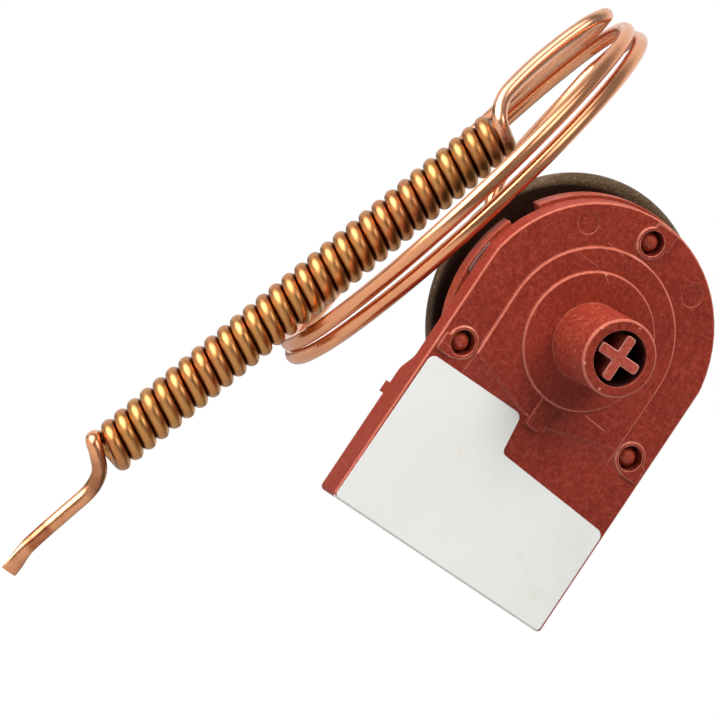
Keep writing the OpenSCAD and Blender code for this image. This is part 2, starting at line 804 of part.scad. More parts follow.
// A flat plate on the floor of the terminal block and its tab; side is 1 above, -1 below
module terminal(x, side) {
    tab_z = bridge_z + side * tab_offset;
    plate_end = bridge_z + side * (tip_offset - fixed_tip_d / 2 - 0.2);
    outer_z = tab_z + side * tab_t / 2;
    color(brass) {
        block([x - tab_w / 2, terminal_front, min(plate_end, outer_z)],
              [x + tab_w / 2, deep_floor, max(plate_end, outer_z)]);
        difference() {
            translate([0, 0, tab_z - tab_t / 2])
                linear_extrude(tab_t)
                    polygon([[x - tab_w / 2, terminal_front], [x + tab_w / 2, terminal_front],
                             [x + tab_w / 2, tab_rear - 1], [x + tab_w / 2 - 1, tab_rear],
                             [x - tab_w / 2 + 1, tab_rear], [x - tab_w / 2, tab_rear - 1]]);
            translate([x, tab_rear - 3.8, tab_z - 1])
                cylinder(d = 1.6, h = 2);
        }
    }
}

module fixed_tips() {
    color(silver)
        for (x = pole_xs(), z = [bridge_z - tip_offset, bridge_z + tip_offset])
            turned([[0, fixed_tip_front], [fixed_tip_d / 2 - 0.25, fixed_tip_front],
                    [fixed_tip_d / 2, fixed_tip_front + 0.2], [fixed_tip_d / 2, terminal_front],
                    [0, terminal_front]], [x, z]);
}

// A stamped ring plate with two ears bent back to carry the lever's pin; on the left its
// edge stands out a little between the cover and the rim
module fulcrum_plate() {
    color(steel)
    difference() {
        union() {
            slab(plate_front, plate_rear)
                difference() {
                    union() {
                        circle(plate_r);
                        translate([-plate_leg_half, plate_leg_bottom])
                            square([2 * plate_leg_half, -plate_leg_bottom]);
                        intersection() {
                            circle(plate_edge_r);
                            sector(plate_edge_from, plate_edge_to);
                        }
                    }
                    difference() {
                        union() {
                            circle(plate_inner_r);
                            translate([-plate_open_half, -cover_r - over])
                                square([2 * plate_open_half, cover_r + over]);
                        }
                        translate([-web_half, lever_pin_z - ear_half_h])
                            square([2 * web_half, plate_inner_r]);
                    }
                    for (p = post_places)
                        translate(p)
                            circle(post_d / 2 + 0.25);
                }
            for (side = [-1, 1])
                block([min(side * ear_in, side * (ear_in + ear_t)), plate_front, lever_pin_z - ear_half_h],
                      [max(side * ear_in, side * (ear_in + ear_t)), lever_pin_y + 1.2,
                       lever_pin_z + ear_half_h]);
        }
        translate([-web_half, lever_pin_y, lever_pin_z])
            rotate([0, 90, 0])
                cylinder(d = lever_pin_d + 0.04, h = 2 * web_half);
    }
}

module lever_pin() {
    half = ear_in + ear_t + 0.7;
    color(steel)
        translate([-half, lever_pin_y, lever_pin_z])
            rotate([0, 90, 0])
                cylinder(d = lever_pin_d, h = 2 * half);
}

// A channel-shaped lever: a flat tongue with two cheeks at the pin
module trip_lever() {
    cheek_t = 0.8;
    color(steel)
    difference() {
        union() {
            slab(lever_front, lever_rear) {
                soft_rect([-lever_half, lever_pin_z - lever_wide_len], [lever_half, lever_top_z], 0.5);
                soft_rect([-lever_half + 0.8, lever_tip_z], [lever_half - 0.8, lever_pin_z], 1.5);
            }
            for (side = [-1, 1])
                block([min(side * lever_half, side * (lever_half - cheek_t)),
                       lever_pin_y - lever_pin_d / 2 - run_gap - 0.1, lever_pin_z - 3],
                      [max(side * lever_half, side * (lever_half - cheek_t)), lever_front + tiny,
                       lever_top_z]);
        }
        translate([-lever_half - over, lever_pin_y, lever_pin_z])
            rotate([0, 90, 0])
                cylinder(r = lever_pin_d / 2 + run_gap, h = 2 * (lever_half + over));
        bar(screw_d / 2 + 0.02, lever_front - over, lever_rear + over, [0, screw_z]);
    }
}

module calibration_screw() {
    front = lever_front - 0.05;
    rear = lever_rear + 0.5;
    color(brass)
    difference() {
        turned([[0, front], [screw_nose_r, front], [screw_d / 2, front + 0.4],
                [screw_d / 2, rear - 0.15], [screw_d / 2 - 0.15, rear], [0, rear]], [0, screw_z]);
        block([-screw_d, rear - 0.4, screw_z - 0.25], [screw_d, rear + over, screw_z + 0.25]);
    }
}

module thrust_pin() {
    color(steel)
        turned([[0, thrust_front], [thrust_nose_r, thrust_front],
                [thrust_d / 2, thrust_front + thrust_nose_len], [thrust_d / 2, thrust_rear],
                [0, thrust_rear]],
               [0, disc_lift]);
}

// Half of the capsule, from its flat middle at middle_y to its flat rim at rim_y, with
// rings of waves between them that stand inwards
module diaphragm(middle_y, rim_y) {
    middle_r = 4;
    rim_from = capsule_r - 1.2;
    inward = sign(rim_y - middle_y);
    steps = 48;
    waves = [for (i = [0:steps])
        let (u = i / steps, wave_h = corrugation_h * (1 - u) * (1 - cos(360 * corrugations * u)) / 2)
        [middle_r + (rim_from - middle_r) * u,
         middle_y + (rim_y - middle_y) * u + inward * wave_h]];
    surface = concat([[0, middle_y]], waves, [[capsule_r, rim_y]]);
    back = [for (i = [len(surface) - 1:-1:0]) surface[i] + [0, diaphragm_t]];
    color("#c3b48a")
        turned(concat(surface, back), [0, disc_lift]);
}

module diaphragm_front() {
    diaphragm(capsule_front, rim_joint_y - diaphragm_t);
}

module diaphragm_rear() {
    diaphragm(recess_rear - diaphragm_t, rim_joint_y);
}

module pressure_disc() {
    arc = 6;
    outline = concat(
        [[0, disc_front]],
        [for (i = [0:arc]) let (a = 90 * i / arc)
            [disc_r - edge_r + edge_r * sin(a), disc_front + edge_r - edge_r * cos(a)]],
        [for (i = [0:arc]) let (a = 90 * i / arc)
            [disc_r - edge_r + edge_r * cos(a), disc_rear - edge_r + edge_r * sin(a)]],
        [[0, disc_rear]]);
    color(olive_steel)
    difference() {
        turned(outline, [0, disc_lift]);
        bar(recess_r, disc_front - over, recess_rear, [0, disc_lift]);
        bar(ferrule_spigot_r + 0.05, disc_front, disc_rear + over, [0, disc_lift]);
        for (p = rivet_places())
            bar(rivet_d / 2 + 0.05, disc_front - over, disc_rear + over, p);
    }
}

module disc_rivets() {
    color(steel)
        for (p = rivet_places()) {
            bar(rivet_d / 2, floor_front - tiny, disc_rear + tiny, p);
            turned([[0, floor_front - rivet_head_t], [rivet_head_r - 0.3, floor_front - rivet_head_t],
                    [rivet_head_r, floor_front - rivet_head_t + 0.3], [rivet_head_r, floor_front],
                    [0, floor_front]], p);
            turned([[0, disc_rear], [rivet_head_r, disc_rear], [rivet_head_r, disc_rear + rivet_head_t - 0.3],
                    [rivet_head_r - 0.3, disc_rear + rivet_head_t], [0, disc_rear + rivet_head_t]], p);
        }
}

module ferrule() {
    nose_r = tube_d / 2 + 0.6;
    color(brass)
    difference() {
        turned([[0, recess_rear], [ferrule_spigot_r, recess_rear], [ferrule_spigot_r, disc_rear],
                [ferrule_d / 2, disc_rear], [ferrule_d / 2, ferrule_collar_rear - 0.3],
                [ferrule_d / 2 - 0.3, ferrule_collar_rear], [ferrule_spigot_r, ferrule_collar_rear],
                [ferrule_spigot_r, ferrule_rear - 1.5], [nose_r, ferrule_rear], [0, ferrule_rear]],
               [0, disc_lift]);
        bar(ferrule_bore / 2, recess_rear - over, ferrule_rear + over, [0, disc_lift]);
    }
}

bulb_axis = unit(bulb_end - bulb_start);
bulb_len = norm(bulb_end - bulb_start);
bulb_right = carried([1, 0, 0], bulb_axis);
bulb_back = cross(bulb_axis, bulb_right);

// A point of the bulb: a left-handed helix whose turns lean a little, s counts them from
// the tail
function bulb_point(s) =
    let (a = bulb_phase + 360 * s)
    bulb_start
    + bulb_axis * (bulb_len * s / bulb_turns + bulb_lean * bulb_r * cos(a - bulb_lean_at))
    + bulb_r * (cos(a) * bulb_right - sin(a) * bulb_back);

// A point of the open turns: a flattened ring that shifts, grows and turns as t grows
function loop_point(t) =
    let (k = t / 360, az = loop_yaw + loop_yaw_step * k, r = loop_r + loop_growth * k,
         roll = loop_roll + loop_roll_step * k,
         across_v = [sin(az), cos(az), 0], flat_n = [cos(az), -sin(az), 0],
         up_v = [0, 0, cos(roll)] + sin(roll) * flat_n,
         shift_v = cos(roll) * flat_n - [0, 0, sin(roll)])
    loop_centre + r * cos(t) * up_v + r * loop_flat * sin(t) * across_v
    + k * (loop_pitch * shift_v + loop_drift * across_v);

function tube_path() =
    let (bulb_last = floor(bulb_turns * bulb_rings), loop_last = 360 * loop_count,
         exit = [0, ferrule_rear + exit_room, disc_lift])
    concat(
        curve(concat([2 * tail[0] - tail[1]], tail, [bulb_point(0), bulb_point(0.1)]), tail_rings),
        [for (i = [0:bulb_last - 1]) bulb_point(i / bulb_rings)],
        curve(concat([bulb_point((bulb_last - 2) / bulb_rings), bulb_point(bulb_last / bulb_rings)],
                     rise, [loop_point(loop_from), loop_point(loop_from + loop_step)]), rise_rings),
        [for (t = [loop_from:loop_step:loop_last - loop_step]) loop_point(t)],
        curve(concat([loop_point(loop_last - loop_step), loop_point(loop_last)],
                     lead, [exit, exit - [0, exit_run, 0]]), lead_rings),
        [exit, exit - [0, exit_run - exit_room, 0], [0, recess_rear + exit_room, disc_lift]]);

module copper_tube() {
    path = tube_path();
    // The cut end is pinched flat: wider and thinner over its last stretch
    pinch = [for (p = path)
        let (u = norm(p - tail[0]) / pinch_len) u >= 1 ? 0 : 1 - u * u * (3 - 2 * u)];
    color(copper)
        swept(path, tube_d / 2, tube_sides, [for (q = pinch) 1 + 0.35 * q],
              [for (q = pinch) 1 - 0.6 * q], [0.95, 0.3, 0]);
}

module bridge_left() { bridge(-pole_pitch); }
module bridge_centre() { bridge(0); }
module bridge_right() { bridge(pole_pitch); }
module bridge_tips_left() { bridge_tips(-pole_pitch); }
module bridge_tips_centre() { bridge_tips(0); }
module bridge_tips_right() { bridge_tips(pole_pitch); }
module bridge_spring_left() { bridge_spring(-pole_pitch); }
module bridge_spring_centre() { bridge_spring(0); }
module bridge_spring_right() { bridge_spring(pole_pitch); }
module terminal_line_left() { terminal(-pole_pitch, 1); }
module terminal_line_centre() { terminal(0, 1); }
module terminal_line_right() { terminal(pole_pitch, 1); }
module terminal_load_left() { terminal(-pole_pitch, -1); }
module terminal_load_centre() { terminal(0, -1); }
module terminal_load_right() { terminal(pole_pitch, -1); }

front_cover();
base_housing();
label();
reset_button();
reset_spring();
contact_carrier();
snap_spring();
bridge_left();
bridge_centre();
bridge_right();
bridge_tips_left();
bridge_tips_centre();
bridge_tips_right();
bridge_spring_left();
bridge_spring_centre();
bridge_spring_right();
terminal_line_left();
terminal_line_centre();
terminal_line_right();
terminal_load_left();
terminal_load_centre();
terminal_load_right();
fixed_tips();
fulcrum_plate();
lever_pin();
trip_lever();
calibration_screw();
thrust_pin();
diaphragm_front();
diaphragm_rear();
pressure_disc();
disc_rivets();
ferrule();
copper_tube();
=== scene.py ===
"""Dresses a three-pole safety thermostat with a coiled copper sensing tube.

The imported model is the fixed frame. X runs right, Y back and Z up, the button's axis is the
Y axis and Y = 0 is the ring that seats against a panel. Blender's lengths are metres. The
classes hold theirs in millimetres where their docstring doesn't say otherwise, and MM
carries them over. A pattern's scale is its cells in a metre.
"""
from __future__ import annotations

import json
import logging
from dataclasses import dataclass
from enum import Enum
from typing import NamedTuple, Sequence, Union

import bmesh
import bpy
import numpy as np
from mathutils import Matrix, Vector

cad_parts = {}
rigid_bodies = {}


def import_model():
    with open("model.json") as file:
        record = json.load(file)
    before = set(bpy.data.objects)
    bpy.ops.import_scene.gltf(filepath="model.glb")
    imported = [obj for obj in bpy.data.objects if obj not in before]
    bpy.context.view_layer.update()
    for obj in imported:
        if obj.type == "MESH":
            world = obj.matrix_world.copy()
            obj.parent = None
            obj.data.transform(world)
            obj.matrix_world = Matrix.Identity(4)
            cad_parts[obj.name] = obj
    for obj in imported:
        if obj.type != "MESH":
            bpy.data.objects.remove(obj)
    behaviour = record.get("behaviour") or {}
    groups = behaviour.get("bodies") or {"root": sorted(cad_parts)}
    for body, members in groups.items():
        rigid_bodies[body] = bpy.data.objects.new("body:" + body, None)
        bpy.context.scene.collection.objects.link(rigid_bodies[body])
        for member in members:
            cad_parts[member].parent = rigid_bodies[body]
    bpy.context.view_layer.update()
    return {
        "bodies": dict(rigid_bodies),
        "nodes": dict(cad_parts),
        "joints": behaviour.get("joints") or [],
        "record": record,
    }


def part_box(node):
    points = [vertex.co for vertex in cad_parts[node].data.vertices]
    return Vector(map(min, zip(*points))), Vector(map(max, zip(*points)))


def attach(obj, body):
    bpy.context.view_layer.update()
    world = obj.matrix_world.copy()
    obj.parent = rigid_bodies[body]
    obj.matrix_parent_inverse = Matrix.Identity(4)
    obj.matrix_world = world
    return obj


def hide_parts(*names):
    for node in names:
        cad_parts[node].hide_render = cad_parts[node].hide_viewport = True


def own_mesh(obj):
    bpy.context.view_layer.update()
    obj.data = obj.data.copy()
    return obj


LOG = logging.getLogger("thermostat")
MM = 0.001
PICTURE_SIDE = 720
SENSOR_WIDTH = 36.0
POLES = ("left", "centre", "right")

Colour = tuple[float, float, float]
Place = tuple[float, float, float]
Way = tuple[float, float, float]
Socket = bpy.types.NodeSocket
Value = Union[float, Socket]

RED: Colour = (0.275, 0.031, 0.016)
DEEP_RED: Colour = (0.140, 0.012, 0.007)
SALMON: Colour = (0.62, 0.19, 0.125)
FILM_WHITE: Colour = (0.80, 0.81, 0.79)
NOISE_LOW = 0.3
NOISE_HIGH = 0.7
SPOT_CORE = 0.5
BEVEL_SAMPLES = 6


class Body(Enum):
    """The rigid bodies that new pieces ride on."""

    CASE = "case"
    CARRIER = "carrier"


class Slot(Enum):
    """The record's material slots that new pieces take their finish from."""

    COPPER = "copper"
    SILVER = "silver"
    SPRING = "spring_steel"


class Zone(Enum):
    """Stretches of the copper tube that differ in colour."""

    TAIL = 0.0
    BULB = 1.0
    OPEN = 2.0


class Ramp(NamedTuple):
    """How a value is carried over: low becomes to_low and high becomes to_high."""

    low: float
    high: float
    to_low: float = 0.0
    to_high: float = 1.0

    @classmethod
    def mm(cls, low: float, high: float, to_low: float = 0.0, to_high: float = 1.0) -> Ramp:
        """Returns a ramp whose low and high are given in millimetres."""
        return cls(low * MM, high * MM, to_low, to_high)


class Band(NamedTuple):
    """A stretch of values: all within half of its middle, running out over soft."""

    middle: float
    half: float
    soft: float

    @classmethod
    def mm(cls, middle: float, half: float, soft: float) -> Band:
        """Returns a band that is given in millimetres."""
        return cls(middle * MM, half * MM, soft * MM)


@dataclass(frozen=True)
class Cloud:
    """A noise pattern: its cells in a metre, its octaves of finer noise and their strength."""

    scale: float
    detail: float = 3.0
    roughness: float = 0.55


class Graph:
    """A material's node tree, with short calls that make nodes and join them."""

    def __init__(self, name: str, surround: bool = False) -> None:
        """Starts an empty material, or an empty surround.

        Args:
            name: The name of what the tree belongs to.
            surround: Whether it is the world's tree and not a material's.
        """
        library = bpy.data.worlds if surround else bpy.data.materials
        self.owner = library.new(name)
        self.owner.use_nodes = True
        self.tree = self.owner.node_tree
        self.tree.nodes.clear()

    def node(self, kind: str, **settings: object) -> bpy.types.Node:
        """Adds one node and sets its options.

        Args:
            kind: Blender's name of the node type.
            settings: Options of the node by name.

        Returns:
            The new node.
        """
        made = self.tree.nodes.new(kind)
        for name, value in settings.items():
            setattr(made, name, value)
        return made

    def feed(self, socket: Socket, value: object) -> None:
        """Links a socket to another one, or gives it a plain value.

        Args:
            socket: The input to fill.
            value: A socket, a number or a tuple of numbers.
        """
        if isinstance(value, bpy.types.NodeSocket):
            self.tree.links.new(value, socket)
        else:
            socket.default_value = value

    def point(self) -> Socket:
        """Returns the place on the object, in metres."""
        return self.node("ShaderNodeTexCoord").outputs["Object"]

    def parts(self, vector: Socket) -> Sequence[Socket]:
        """Splits a vector.

        Args:
            vector: The vector to split.

        Returns:
            Its X, Y and Z.
        """
        split = self.node("ShaderNodeSeparateXYZ")
        self.feed(split.inputs[0], vector)
        return split.outputs

    def attribute(self, name: str) -> Socket:
        """Returns a number stored on the mesh's points."""
        return self.node("ShaderNodeAttribute", attribute_name=name).outputs["Fac"]

    def noise(self, vector: Socket, cloud: Cloud) -> Socket:
        """Reads a noise pattern.

        Args:
            vector: The place to read it at.
            cloud: The pattern.

        Returns:
            A value between 0 and 1.
        """
        made = self.node("ShaderNodeTexNoise")
        self.feed(made.inputs["Vector"], vector)
        self.feed(made.inputs["Scale"], cloud.scale)
        self.feed(made.inputs["Detail"], cloud.detail)
        self.feed(made.inputs["Roughness"], cloud.roughness)
        return made.outputs["Fac"]

    def stretched(self, vector: Socket, scale: Sequence[float]) -> Socket:
        """Scales a vector axis by axis, to draw grain out along one of them.

        Args:
            vector: The vector to scale.
            scale: The factor for each axis.

        Returns:
            The scaled vector.
        """
        made = self.node("ShaderNodeMapping")
        self.feed(made.inputs["Vector"], vector)
        self.feed(made.inputs["Scale"], tuple(scale))
        return made.outputs["Vector"]

    def along(self, vector: Socket, way: Union[Socket, Sequence[float]]) -> Socket:
        """Finds how far a vector reaches along a direction, their dot product.

        Args:
            vector: The vector.
            way: The direction.

        Returns:
            The product.
        """
        made = self.node("ShaderNodeVectorMath", operation="DOT_PRODUCT")
        self.feed(made.inputs[0], vector)
        self.feed(made.inputs[1], way)
        return made.outputs["Value"]

    def math(self, operation: str, first: Value, second: Value = 0.0) -> Socket:
        """Adds one Math node.

        Args:
            operation: Blender's name of what it does.
            first: Its first value.
            second: Its second value, if it takes one.

        Returns:
            Its result.
        """
        made = self.node("ShaderNodeMath", operation=operation)
        self.feed(made.inputs[0], first)
        self.feed(made.inputs[1], second)
        return made.outputs[0]

    def times(self, first: Value, *others: Value) -> Value:
        """Multiplies values, from the first to the last.

        Args:
            first: The first value.
            others: The values to multiply it by.

        Returns:
            The product of them all.
        """
        for other in others:
            first = self.math("MULTIPLY", first, other)
        return first

    def from_axis(self, x: Socket, z: Socket) -> Socket:
        """Returns the distance from the button's axis, the root of x squared plus z squared."""
        return self.math("SQRT", self.math("ADD", self.times(x, x), self.times(z, z)))

    def span(self, value: Value, low: float, high: float,
             to_low: float = 0.0, to_high: float = 1.0) -> Socket:
        """Carries a value from one range to another, held at both ends.

        Args:
            value: The number to carry.
            low: Where the first range starts.
            high: Where the first range ends.
            to_low: Result at low.
            to_high: Result at high.

        Returns:
            The carried value.
        """
        made = self.node("ShaderNodeMapRange", clamp=True)
        for index, number in enumerate((value, low, high, to_low, to_high)):
            self.feed(made.inputs[index], number)
        return made.outputs[0]

    def uneven(self, noise: Socket, least: float, most: float) -> Socket:
        """Returns a number between two that follows a noise over the middle of its range."""
        return self.span(noise, NOISE_LOW, NOISE_HIGH, least, most)

    def fall(self, value: Value, low: float, high: float) -> Socket:
        """Returns 1 up to low, 0 from high on and a straight line between them."""
        return self.span(value, low, high, 1.0, 0.0)

    def band(self, value: Value, middle: float, half: float, soft: float) -> Socket:
        """Returns 1 where a value lies within half of a middle, running out over soft."""
        away = self.math("ABSOLUTE", self.math("SUBTRACT", value, middle))
        return self.fall(away, half, half + soft)

    def spot(self, vector: Socket, centre: Sequence[float], radius: float) -> Socket:
        """Marks a round spot, which runs out past its core.

        Args:
            vector: The place on the object.
            centre: The spot's centre.
            radius: Its radius in metres.

        Returns:
            1 in the spot's core and 0 outside the spot.
        """
        made = self.node("ShaderNodeVectorMath", operation="DISTANCE")
        self.feed(made.inputs[0], vector)
        self.feed(made.inputs[1], tuple(centre))
        return self.fall(made.outputs["Value"], radius * SPOT_CORE, radius)

    def blend(self, share: Value, first: object, second: object) -> Socket:
        """Mixes two colours.

        Args:
            share: The second colour's share, 0 to 1.
            first: The colour at 0.
            second: The colour at 1.

        Returns:
            The mixed colour.
        """
        made = self.node("ShaderNodeMix", data_type="RGBA")
        inputs = [s for s in made.inputs if s.enabled]
        for socket, value in zip(inputs, (share, rgba(first), rgba(second))):
            self.feed(socket, value)
        return next(s for s in made.outputs if s.enabled)

    def soft_normal(self, radius: float) -> Socket:
        """Finds normals that look as if edges were rounded.

        Args:
            radius: The edges' radius in metres.

        Returns:
            The rounded normals.
        """
        made = self.node("ShaderNodeBevel", samples=BEVEL_SAMPLES)
        self.feed(made.inputs["Radius"], radius)
        return made.outputs["Normal"]

    def edge(self, normal: Socket, low: float = 0.01, high: float = 0.16) -> Socket:
        """Marks edges, by how far the soft normal leaves the true one.

        Args:
            normal: The rounded normal.
            low: Departure at which an edge starts to show.
            high: Departure at which it shows fully.

        Returns:
            1 along edges and 0 on flat faces.
        """
        flat = self.node("ShaderNodeNewGeometry").outputs["Normal"]
        away = self.math("SUBTRACT", 1.0, self.along(normal, flat))
        return self.span(away, low, high)

    def bump(self, height: Socket, depth: float, normal: Socket, strength: float) -> Socket:
        """Disturbs normals by a height pattern.

        Args:
            height: The pattern, 0 to 1.
            depth: What 1 is in metres.
            normal: The normals to start from.
            strength: Share of the effect.

        Returns:
            The disturbed normals.
        """
        made = self.node("ShaderNodeBump")
        self.feed(made.inputs["Height"], height)
        self.feed(made.inputs["Distance"], depth)
        self.feed(made.inputs["Strength"], strength)
        self.feed(made.inputs["Normal"], normal)
        return made.outputs["Normal"]

    def surface(self, **inputs: object) -> bpy.types.Material:
        """Closes the tree with a Principled shader.

        Args:
            inputs: The shader's inputs, with _ for a space in their names.

        Returns:
            The material.
        """
        shader = self.node("ShaderNodeBsdfPrincipled")
        for name, value in inputs.items():
            self.feed(shader.inputs[name.replace("_", " ")], value)
        output = self.node("ShaderNodeOutputMaterial")
        self.feed(output.inputs["Surface"], shader.outputs["BSDF"])
        return self.owner


def rgba(value: object) -> object:
    """Gives a colour of three numbers full alpha.

    Args:
        value: The colour, or anything else.

    Returns:
        The colour with its alpha, and anything else as it is.
    """
    if isinstance(value, tuple) and len(value) == 3:
        return (*value, 1.0)
    return value


@dataclass(frozen=True)
class Moulding:
    """Matt red-brown moulded plastic with a mottled grain and paler edges, partly wear and partly
    painted highlight.
    """

    name: str
    base: Colour
    dark: Colour
    pale: Colour
    rough: float = 0.5
    smoother: float = 0.07
    rougher: float = 0.08
    specular: float = 0.3
    edge_radius: float = 0.3
    edge_highlight_and_wear_share: float = 0.62
    edge_ragged: Ramp = Ramp(0.25, 0.55, 0.6, 1.0)
    mottle: Cloud = Cloud(1400.0, 4.0, 0.62)
    mottle_dark: Ramp = Ramp(0.36, 0.56, 0.6, 0.0)
    mottle_pale: Ramp = Ramp(0.54, 0.76, 0.0, 0.16)
    mottle_height: float = 0.6
    specks: Cloud = Cloud(3900.0, 2.0)
    speck_pale: Ramp = Ramp(0.57, 0.75, 0.0, 0.3)
    speck_height: float = 0.4
    clouds: Cloud = Cloud(110.0)
    cloud_dark: Ramp = Ramp(0.32, 0.68, 0.4, 0.0)
    dust: Cloud = Cloud(1900.0, 0.0)
    dust_pale: Ramp = Ramp(0.83, 0.87, 0.0, 0.5)
    grain_depth: float = 0.09
    grain_share: float = 0.9

    def material(self) -> bpy.types.Material:
        """Makes the finish: slow clouds, mottled grain, fine light specks and pale edges, partly wear
        and partly painted highlight.

        Returns:
            The material.
        """
        g = Graph(self.name)
        place = g.point()
        mottle = g.noise(place, self.mottle)
        specks = g.noise(place, self.specks)
        colour = self.grain(g, place, mottle, specks)
        soft = g.soft_normal(self.edge_radius * MM)
        edges = g.math("MAXIMUM", g.edge(soft), self.bevels(g))
        # Paler edges: partly wear, partly painted highlight where light catches the edges of the
        # steps.
        lighter = g.times(edges, g.span(mottle, *self.edge_ragged), self.edge_highlight_and_wear_share)
        colour = g.blend(lighter, colour, self.pale)
        colour = self.marks(g, place, colour)
        height = g.math("ADD", g.times(mottle, self.mottle_height), g.times(specks, self.speck_height))
        return g.surface(
            Base_Color=colour,
            Roughness=g.uneven(mottle, self.rough - self.smoother, self.rough + self.rougher),
            Specular_IOR_Level=self.specular,
            Normal=g.bump(height, self.grain_depth * MM, soft, self.grain_share),
        )

    def grain(self, g: Graph, place: Socket, mottle: Socket, specks: Socket) -> Socket:
        """Paints the plastic's own colour: clouds, dark mottle, light specks and stray dust.

        Args:
            g: The material's tree.
            place: The place on the object.
            mottle: Noise of the mottled grain.
            specks: Noise of the fine specks.

        Returns:
            The colour.
        """
        colour = g.blend(g.span(g.noise(place, self.clouds), *self.cloud_dark), self.base, self.dark)
        colour = g.blend(g.span(mottle, *self.mottle_dark), colour, self.dark)
        colour = g.blend(g.span(mottle, *self.mottle_pale), colour, self.pale)
        colour = g.blend(g.span(specks, *self.speck_pale), colour, self.pale)
        return g.blend(g.span(g.noise(place, self.dust), *self.dust_pale), colour, self.pale)

    def bevels(self, g: Graph) -> Value:
        """Returns 1 on narrow bevels that the piece's own shape has; a plain piece has none."""
        return 0.0

    def marks(self, g: Graph, place: Socket, colour: Socket) -> Socket:
        """Returns the colour with a piece's own marks laid over it; a plain piece has none."""
        return colour


@dataclass(frozen=True)
class Scratch:
    """One fine straight scratch on the face, from one X and Z to another.

    It shows fully over the share full of its width, and runs out over the rest.
    """

    start: tuple[float, float]
    end: tuple[float, float]
    half_width: float
    share: float
    full: float = 0.4

    def mask(self, g: Graph, x: Socket, z: Socket) -> Socket:
        """Draws the scratch by the distance to a segment.

        The part of the offset from its start that lies off its direction is small, and the
        part along it is between 0 and its length.

        Args:
            g: The material's tree.
            x: X of the place on the object.
            z: Z of the place on the object.

        Returns:
            1 on the scratch and 0 beside it.
        """
        first = np.array(self.start) * MM
        step = np.array(self.end) * MM - first
        length = float(np.hypot(*step))
        across, up = (float(part) for part in step / length)
        from_x = g.math("SUBTRACT", x, float(first[0]))
        from_z = g.math("SUBTRACT", z, float(first[1]))
        run = g.math("ADD", g.times(from_x, across), g.times(from_z, up))
        off = g.math("SUBTRACT", g.times(from_x, up), g.times(from_z, across))
        width = self.half_width * MM
        thin = g.fall(g.math("ABSOLUTE", off), width * self.full, width)
        return g.times(thin, g.band(run, length / 2, length / 2, width))


